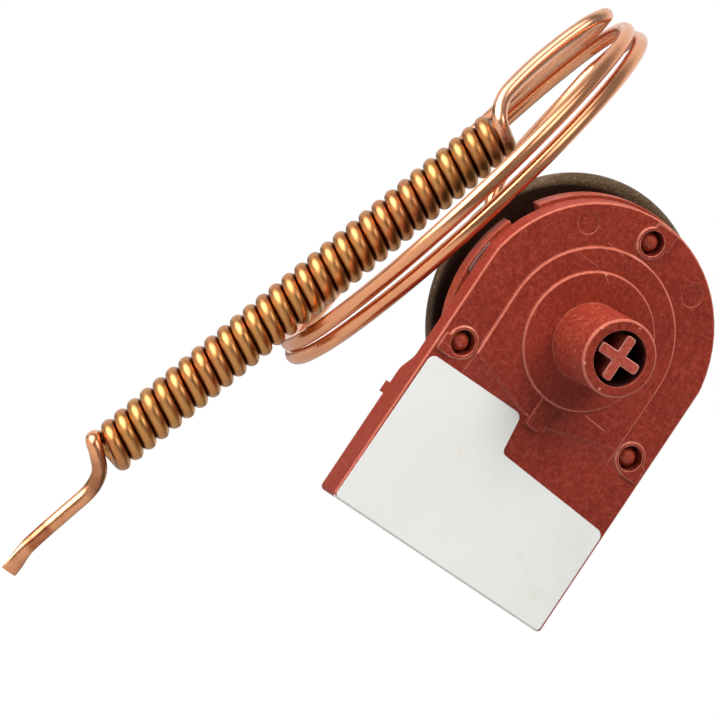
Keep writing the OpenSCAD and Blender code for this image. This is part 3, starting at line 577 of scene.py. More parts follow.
@dataclass(frozen=True)
class CoverMoulding(Moulding):
    """The cover's plastic, with the handling marks of its face and boss, a painted highlight along the
    arch and painted shade in its bore.

    face, boss_front, boss_line, bore_deep and lap_front are depths in Y, bevel_above and
    arch_above are heights in Z, and arch_right is in X. bevel_rib and bevel_walls are
    distances from the middle plane. arch, boss and bore are distances from the button's
    axis. The label's lower end, label_end, is a Z in metres.
    """

    label_end: float = 0.0
    face: Ramp = Ramp.mm(-0.2, -0.05)
    bevel: Band = Band(0.7, 0.1, 0.1)
    bevel_above: Ramp = Ramp.mm(-12.2, -11.6)
    bevel_rib: Ramp = Ramp.mm(2.0, 2.4, 1.0, 0.0)
    bevel_walls: Ramp = Ramp.mm(15.0, 15.5)
    nicks: tuple[Place, ...] = (
        (-5.6, -12.0, 2.3), (-4.8, -12.0, -3.7), (-0.1, -12.0, -5.7), (0.0, -12.0, 5.7),
        (-4.1, 0.0, 14.4), (-4.2, 0.0, 10.3))
    nick_r: float = 0.3
    nick_share: float = 0.75
    nick_ragged: Cloud = Cloud(2600.0)
    nick_edge: Ramp = Ramp(0.35, 0.55)
    nicked: Colour = (0.78, 0.34, 0.24)
    sockets: tuple[Place, ...] = ((0.0, 0.6, 18.8), (-18.15, 0.6, -11.5), (18.15, 0.6, -11.5))
    socket_r: float = 5.0
    socket_edge: float = 0.45
    socket_wear: Cloud = Cloud(750.0, 4.0, 0.65)
    socket_patches: Ramp = Ramp(0.52, 0.6)
    socket_least: float = 0.2
    socket_more: float = 0.7
    worn: Colour = (0.78, 0.33, 0.23)
    scratches: tuple[Scratch, ...] = (
        Scratch((6.9, -10.0), (11.3, -10.25), 0.1, 0.8),
        Scratch((-10.1, 10.7), (-5.8, 10.6), 0.07, 0.45),
        Scratch((-6.5, 14.7), (-3.1, 14.4), 0.09, 0.5),
        Scratch((-2.2, -6.6), (2.6, -6.4), 0.07, 0.4),
        Scratch((-4.7, 10.5), (-3.0, 9.4), 0.09, 0.6),
        Scratch((-22.0, -13.2), (-19.3, -13.1), 0.08, 0.5))
    arch: Band = Band.mm(15.2, 0.1, 0.12)
    arch_right: Ramp = Ramp.mm(3.0, 8.0)
    arch_above: Ramp = Ramp.mm(-11.6, -11.0)
    arch_highlight_share: float = 0.6
    boss: Band = Band.mm(6.4, 0.12, 0.05)
    boss_front: Ramp = Ramp.mm(0.0, -0.2)
    boss_line: Band = Band.mm(-10.95, 0.05, 0.08)
    boss_line_share: float = 0.75
    rub_grain: tuple[float, float, float] = (1900.0, 1100.0, 1900.0)
    rubs: Cloud = Cloud(1.0, 3.0, 0.65)
    rub_patches: Ramp = Ramp(0.52, 0.72)
    rub_share: float = 0.38
    bore: Ramp = Ramp.mm(4.62, 4.75, 1.0, 0.0)
    bore_deep: Ramp = Ramp.mm(-11.9, -11.2)
    bore_shade_share: float = 0.9
    bore_shade_colour: Colour = (0.010, 0.006, 0.006)
    lap_soft: float = 0.05
    lap_front: Ramp = Ramp.mm(1.4, 1.5, 1.0, 0.0)
    lap_share: float = 0.9
    film: Colour = FILM_WHITE

    def bevels(self, g: Graph) -> Value:
        """Marks the bevels round the cover's steps, whose faces turn half away from the front.

        The arch runs out in the face at its low end, so only the rib's and the walls' bevels
        are marked below that.

        Args:
            g: The material's tree.

        Returns:
            1 on the bevels and 0 elsewhere.
        """
        normal = g.node("ShaderNodeNewGeometry").outputs["True Normal"]
        facing = g.math("ABSOLUTE", g.parts(normal)[1])
        x, _, z = g.parts(g.point())
        beside = g.math("ABSOLUTE", x)
        kept = g.math("MAXIMUM", g.span(z, *self.bevel_above), g.span(beside, *self.bevel_rib))
        kept = g.math("MAXIMUM", kept, g.span(beside, *self.bevel_walls))
        # These bevels take the pale edge, which is partly wear and partly painted highlight.
        return g.times(g.band(facing, *self.bevel), kept)

    def marks(self, g: Graph, place: Socket, colour: Socket) -> Socket:
        """Lays the cover's marks over its colour, from the face to the label's lap, with a painted
        highlight along the arch's right side.

        Args:
            g: The material's tree.
            place: The place on the object.
            colour: The colour to lay them over.

        Returns:
            The colour with the marks.
        """
        x, y, z = g.parts(place)
        on_face = g.span(y, *self.face)
        for scratch in self.scratches:
            drawn = g.times(scratch.mask(g, x, z), on_face, scratch.share)
            colour = g.blend(drawn, colour, self.pale)
        colour = self.knocks(g, place, colour)
        # Painted highlight along the arch step's right side, where light catches it.
        arch = g.band(g.from_axis(x, g.math("MAXIMUM", z, 0.0)), *self.arch)
        lighter = g.times(arch, g.span(x, *self.arch_right), on_face, g.span(z, *self.arch_above))
        colour = g.blend(g.times(lighter, self.arch_highlight_share), colour, self.pale)
        colour = self.boss_marks(g, place, colour)
        below = g.fall(z, self.label_end, self.label_end + self.lap_soft * MM)
        lap = g.times(below, g.span(y, *self.lap_front), self.lap_share)
        return g.blend(lap, colour, self.film)

    def knocks(self, g: Graph, place: Socket, colour: Socket) -> Socket:
        """Lightens the sockets' edges, partly wear and partly painted highlight, and chips the nicks.

        Args:
            g: The material's tree.
            place: The place on the object.
            colour: The colour to lay them over.

        Returns:
            The colour with both.
        """
        patches = g.span(g.noise(place, self.socket_wear), *self.socket_patches)
        share = g.math("ADD", g.times(patches, self.socket_more), self.socket_least)
        # Socket edges made paler: partly wear, partly painted highlight.
        edges = g.math("MAXIMUM", self.bevels(g), g.edge(g.soft_normal(self.socket_edge * MM)))
        for socket in self.sockets:
            near = g.spot(place, np.array(socket) * MM, self.socket_r * MM)
            colour = g.blend(g.times(near, edges, share), colour, self.worn)
        ragged = g.span(g.noise(place, self.nick_ragged), *self.nick_edge)
        for nick in self.nicks:
            chip = g.spot(place, np.array(nick) * MM, self.nick_r * MM)
            colour = g.blend(g.times(chip, ragged, self.nick_share), colour, self.nicked)
        return colour

    def boss_marks(self, g: Graph, place: Socket, colour: Socket) -> Socket:
        """Draws the dark line round the boss, its scuffs and the painted shade in its bore.

        Args:
            g: The material's tree.
            place: The place on the object.
            colour: The colour to lay them over.

        Returns:
            The colour with all three.
        """
        x, y, z = g.parts(place)
        radius = g.from_axis(x, z)
        boss = g.times(g.band(radius, *self.boss), g.span(y, *self.boss_front))
        line = g.times(g.band(y, *self.boss_line), boss, self.boss_line_share)
        colour = g.blend(line, colour, self.dark)
        rubs = g.noise(g.stretched(place, self.rub_grain), self.rubs)
        scuffs = g.times(g.span(rubs, *self.rub_patches), boss, self.rub_share)
        colour = g.blend(scuffs, colour, self.pale)
        # Painted shade deep in the bore.
        bore = g.times(g.span(radius, *self.bore), g.span(y, *self.bore_deep), self.bore_shade_share)
        return g.blend(bore, colour, self.bore_shade_colour)


@dataclass(frozen=True)
class LabelFilm:
    """A pale satin label film with faint yellow stains, bare of print."""

    name: str
    base: Colour
    shade: Colour
    stain: Colour
    slow: Cloud = Cloud(60.0, 2.0)
    slow_shade: Ramp = Ramp(0.35, 0.65, 0.0, 0.5)
    spots: Cloud = Cloud(210.0, 4.0, 0.6)
    spot_stain: Ramp = Ramp(0.62, 0.78, 0.0, 0.4)
    dust: Cloud = Cloud(4200.0, 1.0)
    dust_stain: Ramp = Ramp(0.22, 0.3, 0.25, 0.0)
    smoothest: float = 0.36
    roughest: float = 0.46
    specular: float = 0.4
    edge_radius: float = 0.08
    wave_depth: float = 0.2
    wave_share: float = 0.5

    def material(self) -> bpy.types.Material:
        """Makes the finish: slow shading, a few stains and a slightly wavy surface.

        Returns:
            The material.
        """
        g = Graph(self.name)
        place = g.point()
        slow = g.noise(place, self.slow)
        colour = g.blend(g.span(slow, *self.slow_shade), self.base, self.shade)
        colour = g.blend(g.span(g.noise(place, self.spots), *self.spot_stain), colour, self.stain)
        colour = g.blend(g.span(g.noise(place, self.dust), *self.dust_stain), colour, self.stain)
        soft = g.soft_normal(self.edge_radius * MM)
        return g.surface(
            Base_Color=colour,
            Roughness=g.uneven(slow, self.smoothest, self.roughest),
            Specular_IOR_Level=self.specular,
            Normal=g.bump(slow, self.wave_depth * MM, soft, self.wave_share),
        )


@dataclass(frozen=True)
class CopperSkin:
    """Drawn copper tube: rosy on the open turns, browner and golden on the bulb.

    The dent's painted shade, the brown bend and the pale bend are bands round the tube, by the
    distance along it from the tail's end. The first two lie on the tail. line_grain is cells in a
    turn round the tube, and in a metre along it.
    """

    name: str = "tube_copper"
    open_colour: Colour = (0.80, 0.355, 0.18)
    bulb_colour: Colour = (0.55, 0.26, 0.085)
    bulb_rosy: Colour = (0.56, 0.23, 0.085)
    tarnish: Colour = (0.26, 0.10, 0.045)
    pale: Colour = (0.88, 0.55, 0.40)
    groove_shade: Colour = (0.085, 0.030, 0.012)
    groove_shade_share: float = 0.85
    dent_shade_colour: Colour = (0.34, 0.085, 0.035)
    on_bulb: Band = Band(Zone.BULB.value, 0.3, 0.4)
    patina: Cloud = Cloud(70.0, 2.0)
    patina_rosy: Ramp = Ramp(0.4, 0.6)
    pale_bend: Band = Band.mm(550.0, 60.0, 100.0)
    pale_share: float = 0.4
    clouds: Cloud = Cloud(160.0, 4.0, 0.6)
    cloud_stain: Ramp = Ramp(0.52, 0.78)
    zone_stain: Ramp = Ramp(0.0, 1.0, 0.3, 0.55)
    specks: Cloud = Cloud(2600.0, 2.0)
    speck_stain: Ramp = Ramp(0.66, 0.8, 0.0, 0.4)
    dent_shade: Band = Band.mm(7.4, 1.8, 1.2)
    dent_shade_cloud: Ramp = Ramp(0.35, 0.5, 0.5, 0.9)
    brown_bend: Band = Band.mm(21.5, 2.2, 2.0)
    brown_cloud: Ramp = Ramp(0.35, 0.5, 0.4, 0.8)
    rough_cloud: Ramp = Ramp(0.3, 0.75, 0.18, 0.26)
    rough_bulb: float = 0.1
    line_grain: tuple[float, float, float] = (4.0, 16.0, 1.0)
    lines: Cloud = Cloud(1.0, 1.0)
    rough_lines: Ramp = Ramp(0.4, 0.6, 0.0, 0.04)

    def material(self) -> bpy.types.Material:
        """Makes the finish: the zones' colours, tarnish, and drawing lines along the tube.

        Returns:
            The material.
        """
        g = Graph(self.name)
        place = g.point()
        on_bulb = g.band(g.attribute("zone"), *self.on_bulb)
        clouds = g.noise(place, self.clouds)
        lie = g.node("ShaderNodeUVMap", uv_map="along").outputs["UV"]
        lines = g.noise(g.stretched(lie, self.line_grain), self.lines)
        rough = g.math("ADD", g.span(clouds, *self.rough_cloud), g.times(on_bulb, self.rough_bulb))
        return g.surface(
            Base_Color=self.colours(g, place, clouds, on_bulb),
            Metallic=1.0,
            Roughness=g.math("ADD", rough, g.span(lines, *self.rough_lines)),
        )

    def colours(self, g: Graph, place: Socket, clouds: Socket, on_bulb: Socket) -> Socket:
        """Paints the zones, the bends, the painted shade of a dent, the tarnish and the painted shade
        between turns.

        Args:
            g: The material's tree.
            place: The place on the object.
            clouds: Noise of the tarnish.
            on_bulb: 1 on the close turns.

        Returns:
            The colour.
        """
        run = g.attribute("run")
        rosy = g.span(g.noise(place, self.patina), *self.patina_rosy)
        colour = g.blend(on_bulb, self.open_colour, g.blend(rosy, self.bulb_colour, self.bulb_rosy))
        off_bulb = g.math("SUBTRACT", 1.0, on_bulb)
        bleached = g.times(g.band(run, *self.pale_bend), off_bulb, self.pale_share)
        colour = g.blend(bleached, colour, self.pale)
        stained = g.times(g.span(clouds, *self.cloud_stain), g.span(on_bulb, *self.zone_stain))
        colour = g.blend(stained, colour, self.tarnish)
        colour = g.blend(g.span(g.noise(place, self.specks), *self.speck_stain), colour, self.tarnish)
        # Painted shade of a dent near the tail's pinch, which the mesh doesn't have.
        dent_shade = g.times(g.band(run, *self.dent_shade), g.span(clouds, *self.dent_shade_cloud))
        colour = g.blend(dent_shade, colour, self.dent_shade_colour)
        bend = g.times(g.band(run, *self.brown_bend), g.span(clouds, *self.brown_cloud))
        colour = g.blend(bend, colour, self.tarnish)
        # Painted shade between the bulb's close turns.
        return g.blend(g.times(g.attribute("groove"), self.groove_shade_share), colour, self.groove_shade)


@dataclass(frozen=True)
class Metal:
    """Sheet, turned or drawn metal with a fine grain along one axis."""

    name: str
    base: Colour
    dark: Colour
    rough: float
    smoother: float = 0.05
    rougher: float = 0.08
    grain: tuple[float, float, float] = (600.0, 3000.0, 3000.0)
    drawn: Cloud = Cloud(1.0, 2.0)
    grain_depth: float = 0.02
    grain_share: float = 0.5
    edge_radius: float = 0.1
    clouds: Cloud = Cloud(240.0, 4.0, 0.6)
    cloud_dark: Ramp = Ramp(0.35, 0.72, 0.0, 0.75)
    specks: Cloud = Cloud(2400.0)
    speck_dark: Ramp = Ramp(0.55, 0.7, 0.0, 0.2)

    def material(self) -> bpy.types.Material:
        """Makes the finish: drawn grain, dull clouds and slightly rounded edges.

        Returns:
            The material.
        """
        g = Graph(self.name)
        place = g.point()
        clouds = g.noise(place, self.clouds)
        grain = g.noise(g.stretched(place, self.grain), self.drawn)
        colour = g.blend(g.span(clouds, *self.cloud_dark), self.base, self.dark)
        colour = g.blend(g.span(g.noise(place, self.specks), *self.speck_dark), colour, self.dark)
        soft = g.soft_normal(self.edge_radius * MM)
        return g.surface(
            Base_Color=colour,
            Metallic=1.0,
            Roughness=g.uneven(clouds, self.rough - self.smoother, self.rough + self.rougher),
            Normal=g.bump(grain, self.grain_depth * MM, soft, self.grain_share),
        )


@dataclass(frozen=True)
class PassivatedSteel:
    """Olive-brown passivated steel with a rubbed, speckled skin.

    Its front carries painted shade near the base that stands before it: out to a radius that grows
    towards the left, as shade_left says, and only on the front itself.
    """

    name: str
    base: Colour
    brown: Colour
    lighter: Colour
    clouds: Cloud = Cloud(110.0, 4.0, 0.6)
    cloud_brown: Ramp = Ramp(0.35, 0.65)
    blotch: Cloud = Cloud(800.0, 3.0, 0.6)
    blotch_brown: Ramp = Ramp(0.5, 0.72, 0.0, 0.5)
    specks: Cloud = Cloud(2900.0, 2.0)
    speck_rubbed: Ramp = Ramp(0.52, 0.7, 0.0, 0.7)
    speck_height: float = 0.5
    edge_radius: float = 0.5
    edge_highlight_and_wear_share: float = 0.35
    shaded: Colour = (0.014, 0.006, 0.004)
    shade_left: Ramp = Ramp(-20.0 * MM, 4.0 * MM, -1.0 * MM, 0.0)
    shade_out: Ramp = Ramp.mm(22.3, 23.0, 0.95, 0.0)
    shade_front: Ramp = Ramp.mm(11.9, 12.4, 1.0, 0.0)
    metallic: Ramp = Ramp(0.0, 1.0, 0.2, 0.0)
    specular: Ramp = Ramp(0.0, 1.0, 0.32, 0.03)
    smoothest: float = 0.4
    roughest: float = 0.55
    skin_depth: float = 0.03
    skin_share: float = 0.7

    def material(self) -> bpy.types.Material:
        """Makes the finish: olive and brown clouds, bright specks, paler edges and the painted shade.

        Returns:
            The material.
        """
        g = Graph(self.name)
        place = g.point()
        blotch = g.noise(place, self.blotch)
        specks = g.noise(place, self.specks)
        colour = g.blend(g.span(g.noise(place, self.clouds), *self.cloud_brown), self.base, self.brown)
        colour = g.blend(g.span(blotch, *self.blotch_brown), colour, self.brown)
        colour = g.blend(g.span(specks, *self.speck_rubbed), colour, self.lighter)
        soft = g.soft_normal(self.edge_radius * MM)
        # Paler edges: partly rub, partly painted highlight on the rounded rim.
        colour = g.blend(g.times(g.edge(soft), self.edge_highlight_and_wear_share), colour, self.lighter)
        # Painted shade on the front near the base, with less metallic and specular reflection there.
        shade = self.shade(g, place)
        height = g.math("ADD", blotch, g.times(specks, self.speck_height))
        return g.surface(
            Base_Color=g.blend(shade, colour, self.shaded),
            Metallic=g.span(shade, *self.metallic),
            Specular_IOR_Level=g.span(shade, *self.specular),
            Roughness=g.uneven(blotch, self.smoothest, self.roughest),
            Normal=g.bump(height, self.skin_depth * MM, soft, self.skin_share),
        )

    def shade(self, g: Graph, place: Socket) -> Socket:
        """Marks the painted shade of the front.

        Args:
            g: The material's tree.
            place: The place on the object.

        Returns:
            The shade's share of the colour.
        """
        x, y, z = g.parts(place)
        inner = g.math("ADD", g.from_axis(x, z), g.span(x, *self.shade_left))
        return g.times(g.span(inner, *self.shade_out), g.span(y, *self.shade_front))


def mesh_object(name: str, points: np.ndarray, faces: np.ndarray,
                smooth: bool = True) -> bpy.types.Object:
    """Makes an object at the origin from arrays of points and faces.

    Args:
        name: The object's name.
        points: Places in metres, one row each.
        faces: Corner numbers, one row each.
        smooth: Whether its faces are shaded smooth.

    Returns:
        The linked object.
    """
    mesh = bpy.data.meshes.new(name)
    mesh.from_pydata(points.tolist(), [], faces.tolist())
    mesh.update()
    mesh.polygons.foreach_set("use_smooth", np.full(len(mesh.polygons), smooth))
    made = bpy.data.objects.new(name, mesh)
    bpy.context.scene.collection.objects.link(made)
    return made


def grid_faces(rows: int, columns: int) -> np.ndarray:
    """Joins a grid of points, whose last column meets its first, row by row.

    Args:
        rows: Points along the first direction.
        columns: Points along the second direction.

    Returns:
        The corner numbers of its quads.
    """
    row = np.arange(rows - 1)[:, None]
    column = np.arange(columns)[None, :]
    after = (column + 1) % columns
    corners = (row * columns + column, row * columns + after, (row + 1) * columns + after,
               (row + 1) * columns + column)
    return np.stack([c.ravel() for c in np.broadcast_arrays(*corners)], axis=1)


def unit(vector: np.ndarray) -> np.ndarray:
    """Returns vectors of length 1 along the last axis."""
    return vector / np.linalg.norm(vector, axis=-1, keepdims=True)


def eased(share: np.ndarray) -> np.ndarray:
    """Returns shares from 0 to 1 that start and end gently: u squared times 3 minus 2 u."""
    return share * share * (3 - 2 * share)


def smooth_line(points: Sequence[Sequence[float]], steps: int) -> np.ndarray:
    """Draws a smooth line through all but the first and last of the points.

    Each stretch between b and c is a cubic whose slopes at b and c are half of c - a
    and of d - b, a and d being the points before and after.

    Args:
        points: Points in millimetres.
        steps: Places computed in each stretch.

    Returns:
        The line's places, one row each.
    """
    p = np.asarray(points, dtype=float)
    a, b, c, d = (p[i:len(p) - 3 + i, None, :] for i in range(4))
    t = (np.arange(steps) / steps)[None, :, None]
    second = 2 * a - 5 * b + 4 * c - d
    third = 3 * b - a - 3 * c + d
    line = (2 * b + (c - a) * t + second * t ** 2 + third * t ** 3) / 2
    return line.reshape(-1, 3)


@dataclass(frozen=True)
class Ferrule:
    """Where the frame's ferrule takes the tube in: its ends in Y and its middle in Z."""

    front: float
    rear: float
    z: float

    @classmethod
    def measured(cls) -> Ferrule:
        """Returns the ferrule as its node's box has it, in millimetres."""
        (_, front, low), (_, rear, high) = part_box("ferrule")
        return cls(front / MM, rear / MM, (low + high) / 2 / MM)


@dataclass
class CopperTube:
    """The sensing tube: pinched tail, close-wound bulb, two open turns and the lead.

    Angles are degrees. Each open turn adds loop_growth, loop_yaw_step, loop_roll_step,
    loop_pitch and loop_drift to where it runs. The end runs straight into the ferrule, from
    exit_straight behind its rear, by exit_inside within it, to exit_end behind its front.
    Each bend is drawn towards a guide place past its end.
    """

    ferrule: Ferrule
    tube_d: float = 2.5
    sides: int = 26
    bend_steps: int = 14
    tail_steps: int = 12
    bulb_start: Place = (-43.14, 36.08, -57.34)
    bulb_end: Place = (-21.94, 24.28, 20.96)
    bulb_r: float = 2.9
    bulb_turns: float = 30.7
    bulb_turn_parts: int = 14
    bulb_phase: float = 225.0
    bulb_lean: float = 0.105
    bulb_lean_at: float = 207.0
    bulb_guide: float = 0.1
    bulb_rings: int = 44
    bulb_swell: float = 0.1
    groove_from: float = 0.74
    groove_over: float = 0.24
    zone_blend: int = 21
    zone_reach: float = 0.4
    loop_centre: Place = (-19.8, 36.0, 10.6)
    loop_from: float = 20.0
    loop_to: float = 710.0
    loop_step: float = 1.5
    loop_guide: float = 10.0
    loop_r: float = 37.0
    loop_growth: float = 0.79
    loop_flat: float = 0.84
    loop_yaw: float = 18.8
    loop_yaw_step: float = -1.1
    loop_roll: float = 12.12
    loop_roll_step: float = 0.3
    loop_pitch: float = 2.67
    loop_drift: float = 1.9
    pinch_len: float = 7.0
    pinch_wider: float = 0.35
    pinch_thinner: float = 0.6
    pinch_way: Way = (0.95, 0.3, 0.0)
    exit_straight: float = 1.0
    exit_inside: float = 2.0
    exit_end: float = 1.0
    exit_guide: float = 4.0
    tail: tuple[Place, ...] = (
        (-46.0, 35.8, -82.1), (-45.9, 35.6, -80.6), (-45.8, 35.6, -77.4), (-45.1, 35.2, -73.8),
        (-43.9, 34.5, -68.7), (-42.9, 33.9, -64.1), (-43.4, 33.5, -60.8), (-45.5, 33.5, -58.5),
        (-47.0, 34.7, -56.9))
    rise: tuple[Place, ...] = (
        (-24.3, 21.7, 21.8), (-25.0, 23.1, 23.6), (-25.0, 24.3, 25.4), (-24.5, 25.3, 27.5),
        (-22.8, 26.9, 32.0), (-20.4, 28.4, 37.6), (-17.7, 29.6, 43.1), (-15.6, 31.2, 45.6),
        (-13.7, 33.6, 46.9), (-11.8, 37.6, 46.7))
    lead: tuple[Place, ...] = (
        (-4.8, 39.2, 46.8), (-3.5, 43.6, 45.0), (-2.7, 47.2, 41.9), (-3.1, 48.4, 38.6),
        (-4.6, 47.2, 32.6), (-7.0, 44.4, 26.4), (-9.4, 41.0, 21.3), (-11.2, 38.2, 16.6),
        (-11.2, 35.8, 12.0), (-9.0, 34.0, 7.6), (-5.3, 32.8, 4.2), (-1.8, 30.8, 2.2),
        (-0.2, 27.8, 1.6), (0.0, 25.0, 1.5))

    def bulb(self, turns: np.ndarray) -> np.ndarray:
        """Places points on the bulb's left-handed helix.

        A place is the bulb's start, plus its pitch times the turns and a lean of
        cos(a - lean_at) along the axis, plus its radius times cos(a) right and -sin(a) back.

        Args:
            turns: Turns from the tail's end of the bulb.

        Returns:
            The places, one row each.
        """
        start = np.array(self.bulb_start)
        span = np.array(self.bulb_end) - start
        axis = unit(span)
        right = unit(np.array([1.0, 0.0, 0.0]) - axis * axis[0])
        back = np.cross(axis, right)
        angle = np.radians(self.bulb_phase + 360.0 * turns)[:, None]
        lean = self.bulb_lean * self.bulb_r * np.cos(angle - np.radians(self.bulb_lean_at))
        middle = start + span * turns[:, None] / self.bulb_turns + lean * axis
        return middle + self.bulb_r * (np.cos(angle) * right - np.sin(angle) * back)

    def ring(self, angle: np.ndarray) -> np.ndarray:
        """Places points on the open turns: a flattened ring that shifts, grows and yaws.

        A place is the ring's centre, plus its radius times cos(a) up and the flattened
        sin(a) back, plus the shift sideways and back of the turns so far.

        Args:
            angle: Degrees from the ring's top, past 360 on the second turn.

        Returns:
            The places, one row each.
        """
        turn = (angle / 360.0)[:, None]
        yaw = np.radians(self.loop_yaw + self.loop_yaw_step * turn)
        flat = np.zeros_like(turn)
        deep = np.concatenate([np.sin(yaw), np.cos(yaw), flat], axis=1)
        side = np.concatenate([np.cos(yaw), -np.sin(yaw), flat], axis=1)
        up = np.array([0.0, 0.0, 1.0])
        roll = np.radians(self.loop_roll + self.loop_roll_step * turn)
        rising = np.cos(roll) * up + np.sin(roll) * side
        sideways = np.cos(roll) * side - np.sin(roll) * up
        radius = self.loop_r + self.loop_growth * turn
        a = np.radians(angle)[:, None]
        circle = radius * (np.cos(a) * rising + self.loop_flat * np.sin(a) * deep)
        shift = turn * (self.loop_pitch * sideways + self.loop_drift * deep)
        return np.array(self.loop_centre) + circle + shift

    def route(self) -> tuple[np.ndarray, np.ndarray]:
        """Draws the tube's centre line, stretch by stretch from the tail to the ferrule.

        Returns:
            The line's places in millimetres, and each place's zone.
        """
        last = np.floor(self.bulb_turns * self.bulb_turn_parts) / self.bulb_turn_parts
        near_start = self.bulb(np.array([0.0, self.bulb_guide]))
        near_end = self.bulb(np.array([last - 2 / self.bulb_turn_parts, last]))
        leaves = self.ferrule.rear + self.exit_straight
        depths = (leaves, self.ferrule.rear - self.exit_inside, self.ferrule.front + self.exit_end)
        exits = [(0.0, depth, self.ferrule.z) for depth in depths]
        guide = (0.0, leaves - self.exit_guide, self.ferrule.z)
        before_tail = 2 * np.array(self.tail[0]) - np.array(self.tail[1])
        ahead = np.array([-self.loop_guide, 0.0, self.loop_guide])
        first_turn = self.ring(self.loop_from + ahead[1:])
        turns = self.ring(np.arange(self.loop_from, self.loop_to, self.loop_step))
        last_turn = self.ring(self.loop_to + ahead)
        risen = [*near_end, *self.rise, *first_turn]
        led = [*last_turn, *self.lead, exits[0], guide]
        stretches = [
            (smooth_line([before_tail, *self.tail, *near_start], self.tail_steps), Zone.TAIL),
            (self.bulb(np.arange(0.0, last, 1 / self.bulb_rings)), Zone.BULB),
            (smooth_line(risen, self.bend_steps), Zone.OPEN),
            (turns, Zone.OPEN),
            (smooth_line(led, self.bend_steps), Zone.OPEN),
            (np.array(exits), Zone.OPEN),
        ]
        line = np.concatenate([places for places, _ in stretches])
        zone = np.concatenate([np.full(len(places), kind.value) for places, kind in stretches])
        kernel = np.ones(self.zone_blend) / self.zone_blend
        zone = np.convolve(np.pad(zone, self.zone_blend // 2, mode="edge"), kernel, mode="valid")
        return line, zone

    def normals(self, tangent: np.ndarray) -> np.ndarray:
        """Carries a normal along the tube so that it never twists.

        Args:
            tangent: The line's direction at each place.

        Returns:
            One normal for each place.
        """
        carried = np.empty_like(tangent)
        normal = np.array(self.pinch_way)
        for index, direction in enumerate(tangent):
            normal = unit(normal - (normal @ direction) * direction)
            carried[index] = normal
        return carried

    def build(self) -> bpy.types.Object:
        """Builds the tube's surface: a circle carried along the route, pinched at its tail.

        A point is the route's place plus the radius times cos(a) of the normal, widened by
        the pinch, and sin(a) of the binormal, thinned by it.

        Returns:
            The tube as one closed mesh object.
        """
        line, zone = self.route()
        tangent = unit(np.gradient(line, axis=0))
        normal = self.normals(tangent)
        binormal = np.cross(tangent, normal)
        run = np.cumsum(np.linalg.norm(np.diff(line, axis=0, prepend=line[:1]), axis=1))
        from_end = np.linalg.norm(line - line[0], axis=1) / self.pinch_len
        pinch = (1 - eased(np.clip(from_end, 0.0, 1.0)))[:, None, None]
        angle = (np.arange(self.sides) * 2 * np.pi / self.sides)[None, :, None]
        wide = (1 + self.pinch_wider * pinch) * np.cos(angle) * normal[:, None, :]
        tall = (1 - self.pinch_thinner * pinch) * np.sin(angle) * binormal[:, None, :]
        on_bulb = np.clip(1 - np.abs(zone - Zone.BULB.value) / self.zone_reach, 0.0, 1.0)
        radius = (self.tube_d + self.bulb_swell * on_bulb) / 2
        points = line[:, None, :] + radius[:, None, None] * (wide + tall)
        groove = self.grooves(wide + tall) * on_bulb[:, None]
        quads = grid_faces(len(line), self.sides)
        made = mesh_object("drawn_copper_tube", points.reshape(-1, 3) * MM, quads)
        self.lay_out(made, run, zone, groove)
        self.close_ends(made)
        return made

    def grooves(self, outward: np.ndarray) -> np.ndarray:
        """Finds how deep each point lies between two turns of the bulb.

        It grows with the share of the point's outward direction that lies along the bulb's axis.

        Args:
            outward: Each point's direction from the line.

        Returns:
            Depths from 0 to 1, one row for each ring.
        """
        axis = unit(np.array(self.bulb_end) - np.array(self.bulb_start))
        leaning = np.abs(outward @ axis) - self.groove_from
        return eased(np.clip(leaning / self.groove_over, 0.0, 1.0))

    def lay_out(self, made: bpy.types.Object, run: np.ndarray, zone: np.ndarray,
                groove: np.ndarray) -> None:
        """Stores the run, zone and groove of each point, and a UV map of turn and run.

        Args:
            made: The tube's object.
            run: Distance from the tail in millimetres, one for each ring.
            zone: Zone of each ring.
            groove: How deep each point lies between two turns, one row for each ring.
        """
        mesh = made.data
        spread = {"run": np.repeat(run * MM, self.sides), "zone": np.repeat(zone, self.sides),
                  "groove": groove.ravel()}
        for name, values in spread.items():
            layer = mesh.attributes.new(name, "FLOAT", "POINT")
            layer.data.foreach_set("value", values.astype(np.float32))
        corner = np.empty(len(mesh.loops), dtype=np.int32)
        mesh.loops.foreach_get("vertex_index", corner)
        ring = corner // self.sides
        side = corner % self.sides
        quads = side.reshape(-1, 4)
        wraps = np.repeat(quads.max(axis=1) - quads.min(axis=1) > 1, 4)
        turn = np.where(wraps & (side == 0), self.sides, side) / self.sides
        uv = np.stack([turn, run[ring] * MM], axis=1)
        mesh.uv_layers.new(name="along").data.foreach_set("uv", uv.ravel().astype(np.float32))

    def close_ends(self, made: bpy.types.Object) -> None:
        """Closes both open ends with a flat face and points all faces outwards.

        Args:
            made: The tube's object.
        """
        work = bmesh.new()
        work.from_mesh(made.data)
        for face in cap(work):
            face.smooth = False
        bmesh.ops.recalc_face_normals(work, faces=work.faces)
        work.to_mesh(made.data)
        work.free()


def cap(work: bmesh.types.BMesh) -> list[bmesh.types.BMFace]:
    """Closes every hole of a mesh with one face.

    Args:
        work: The mesh being worked on.

    Returns:
        The new faces.
    """
    open_edges = [edge for edge in work.edges if edge.is_boundary]
    return bmesh.ops.holes_fill(work, edges=open_edges, sides=0)["faces"]


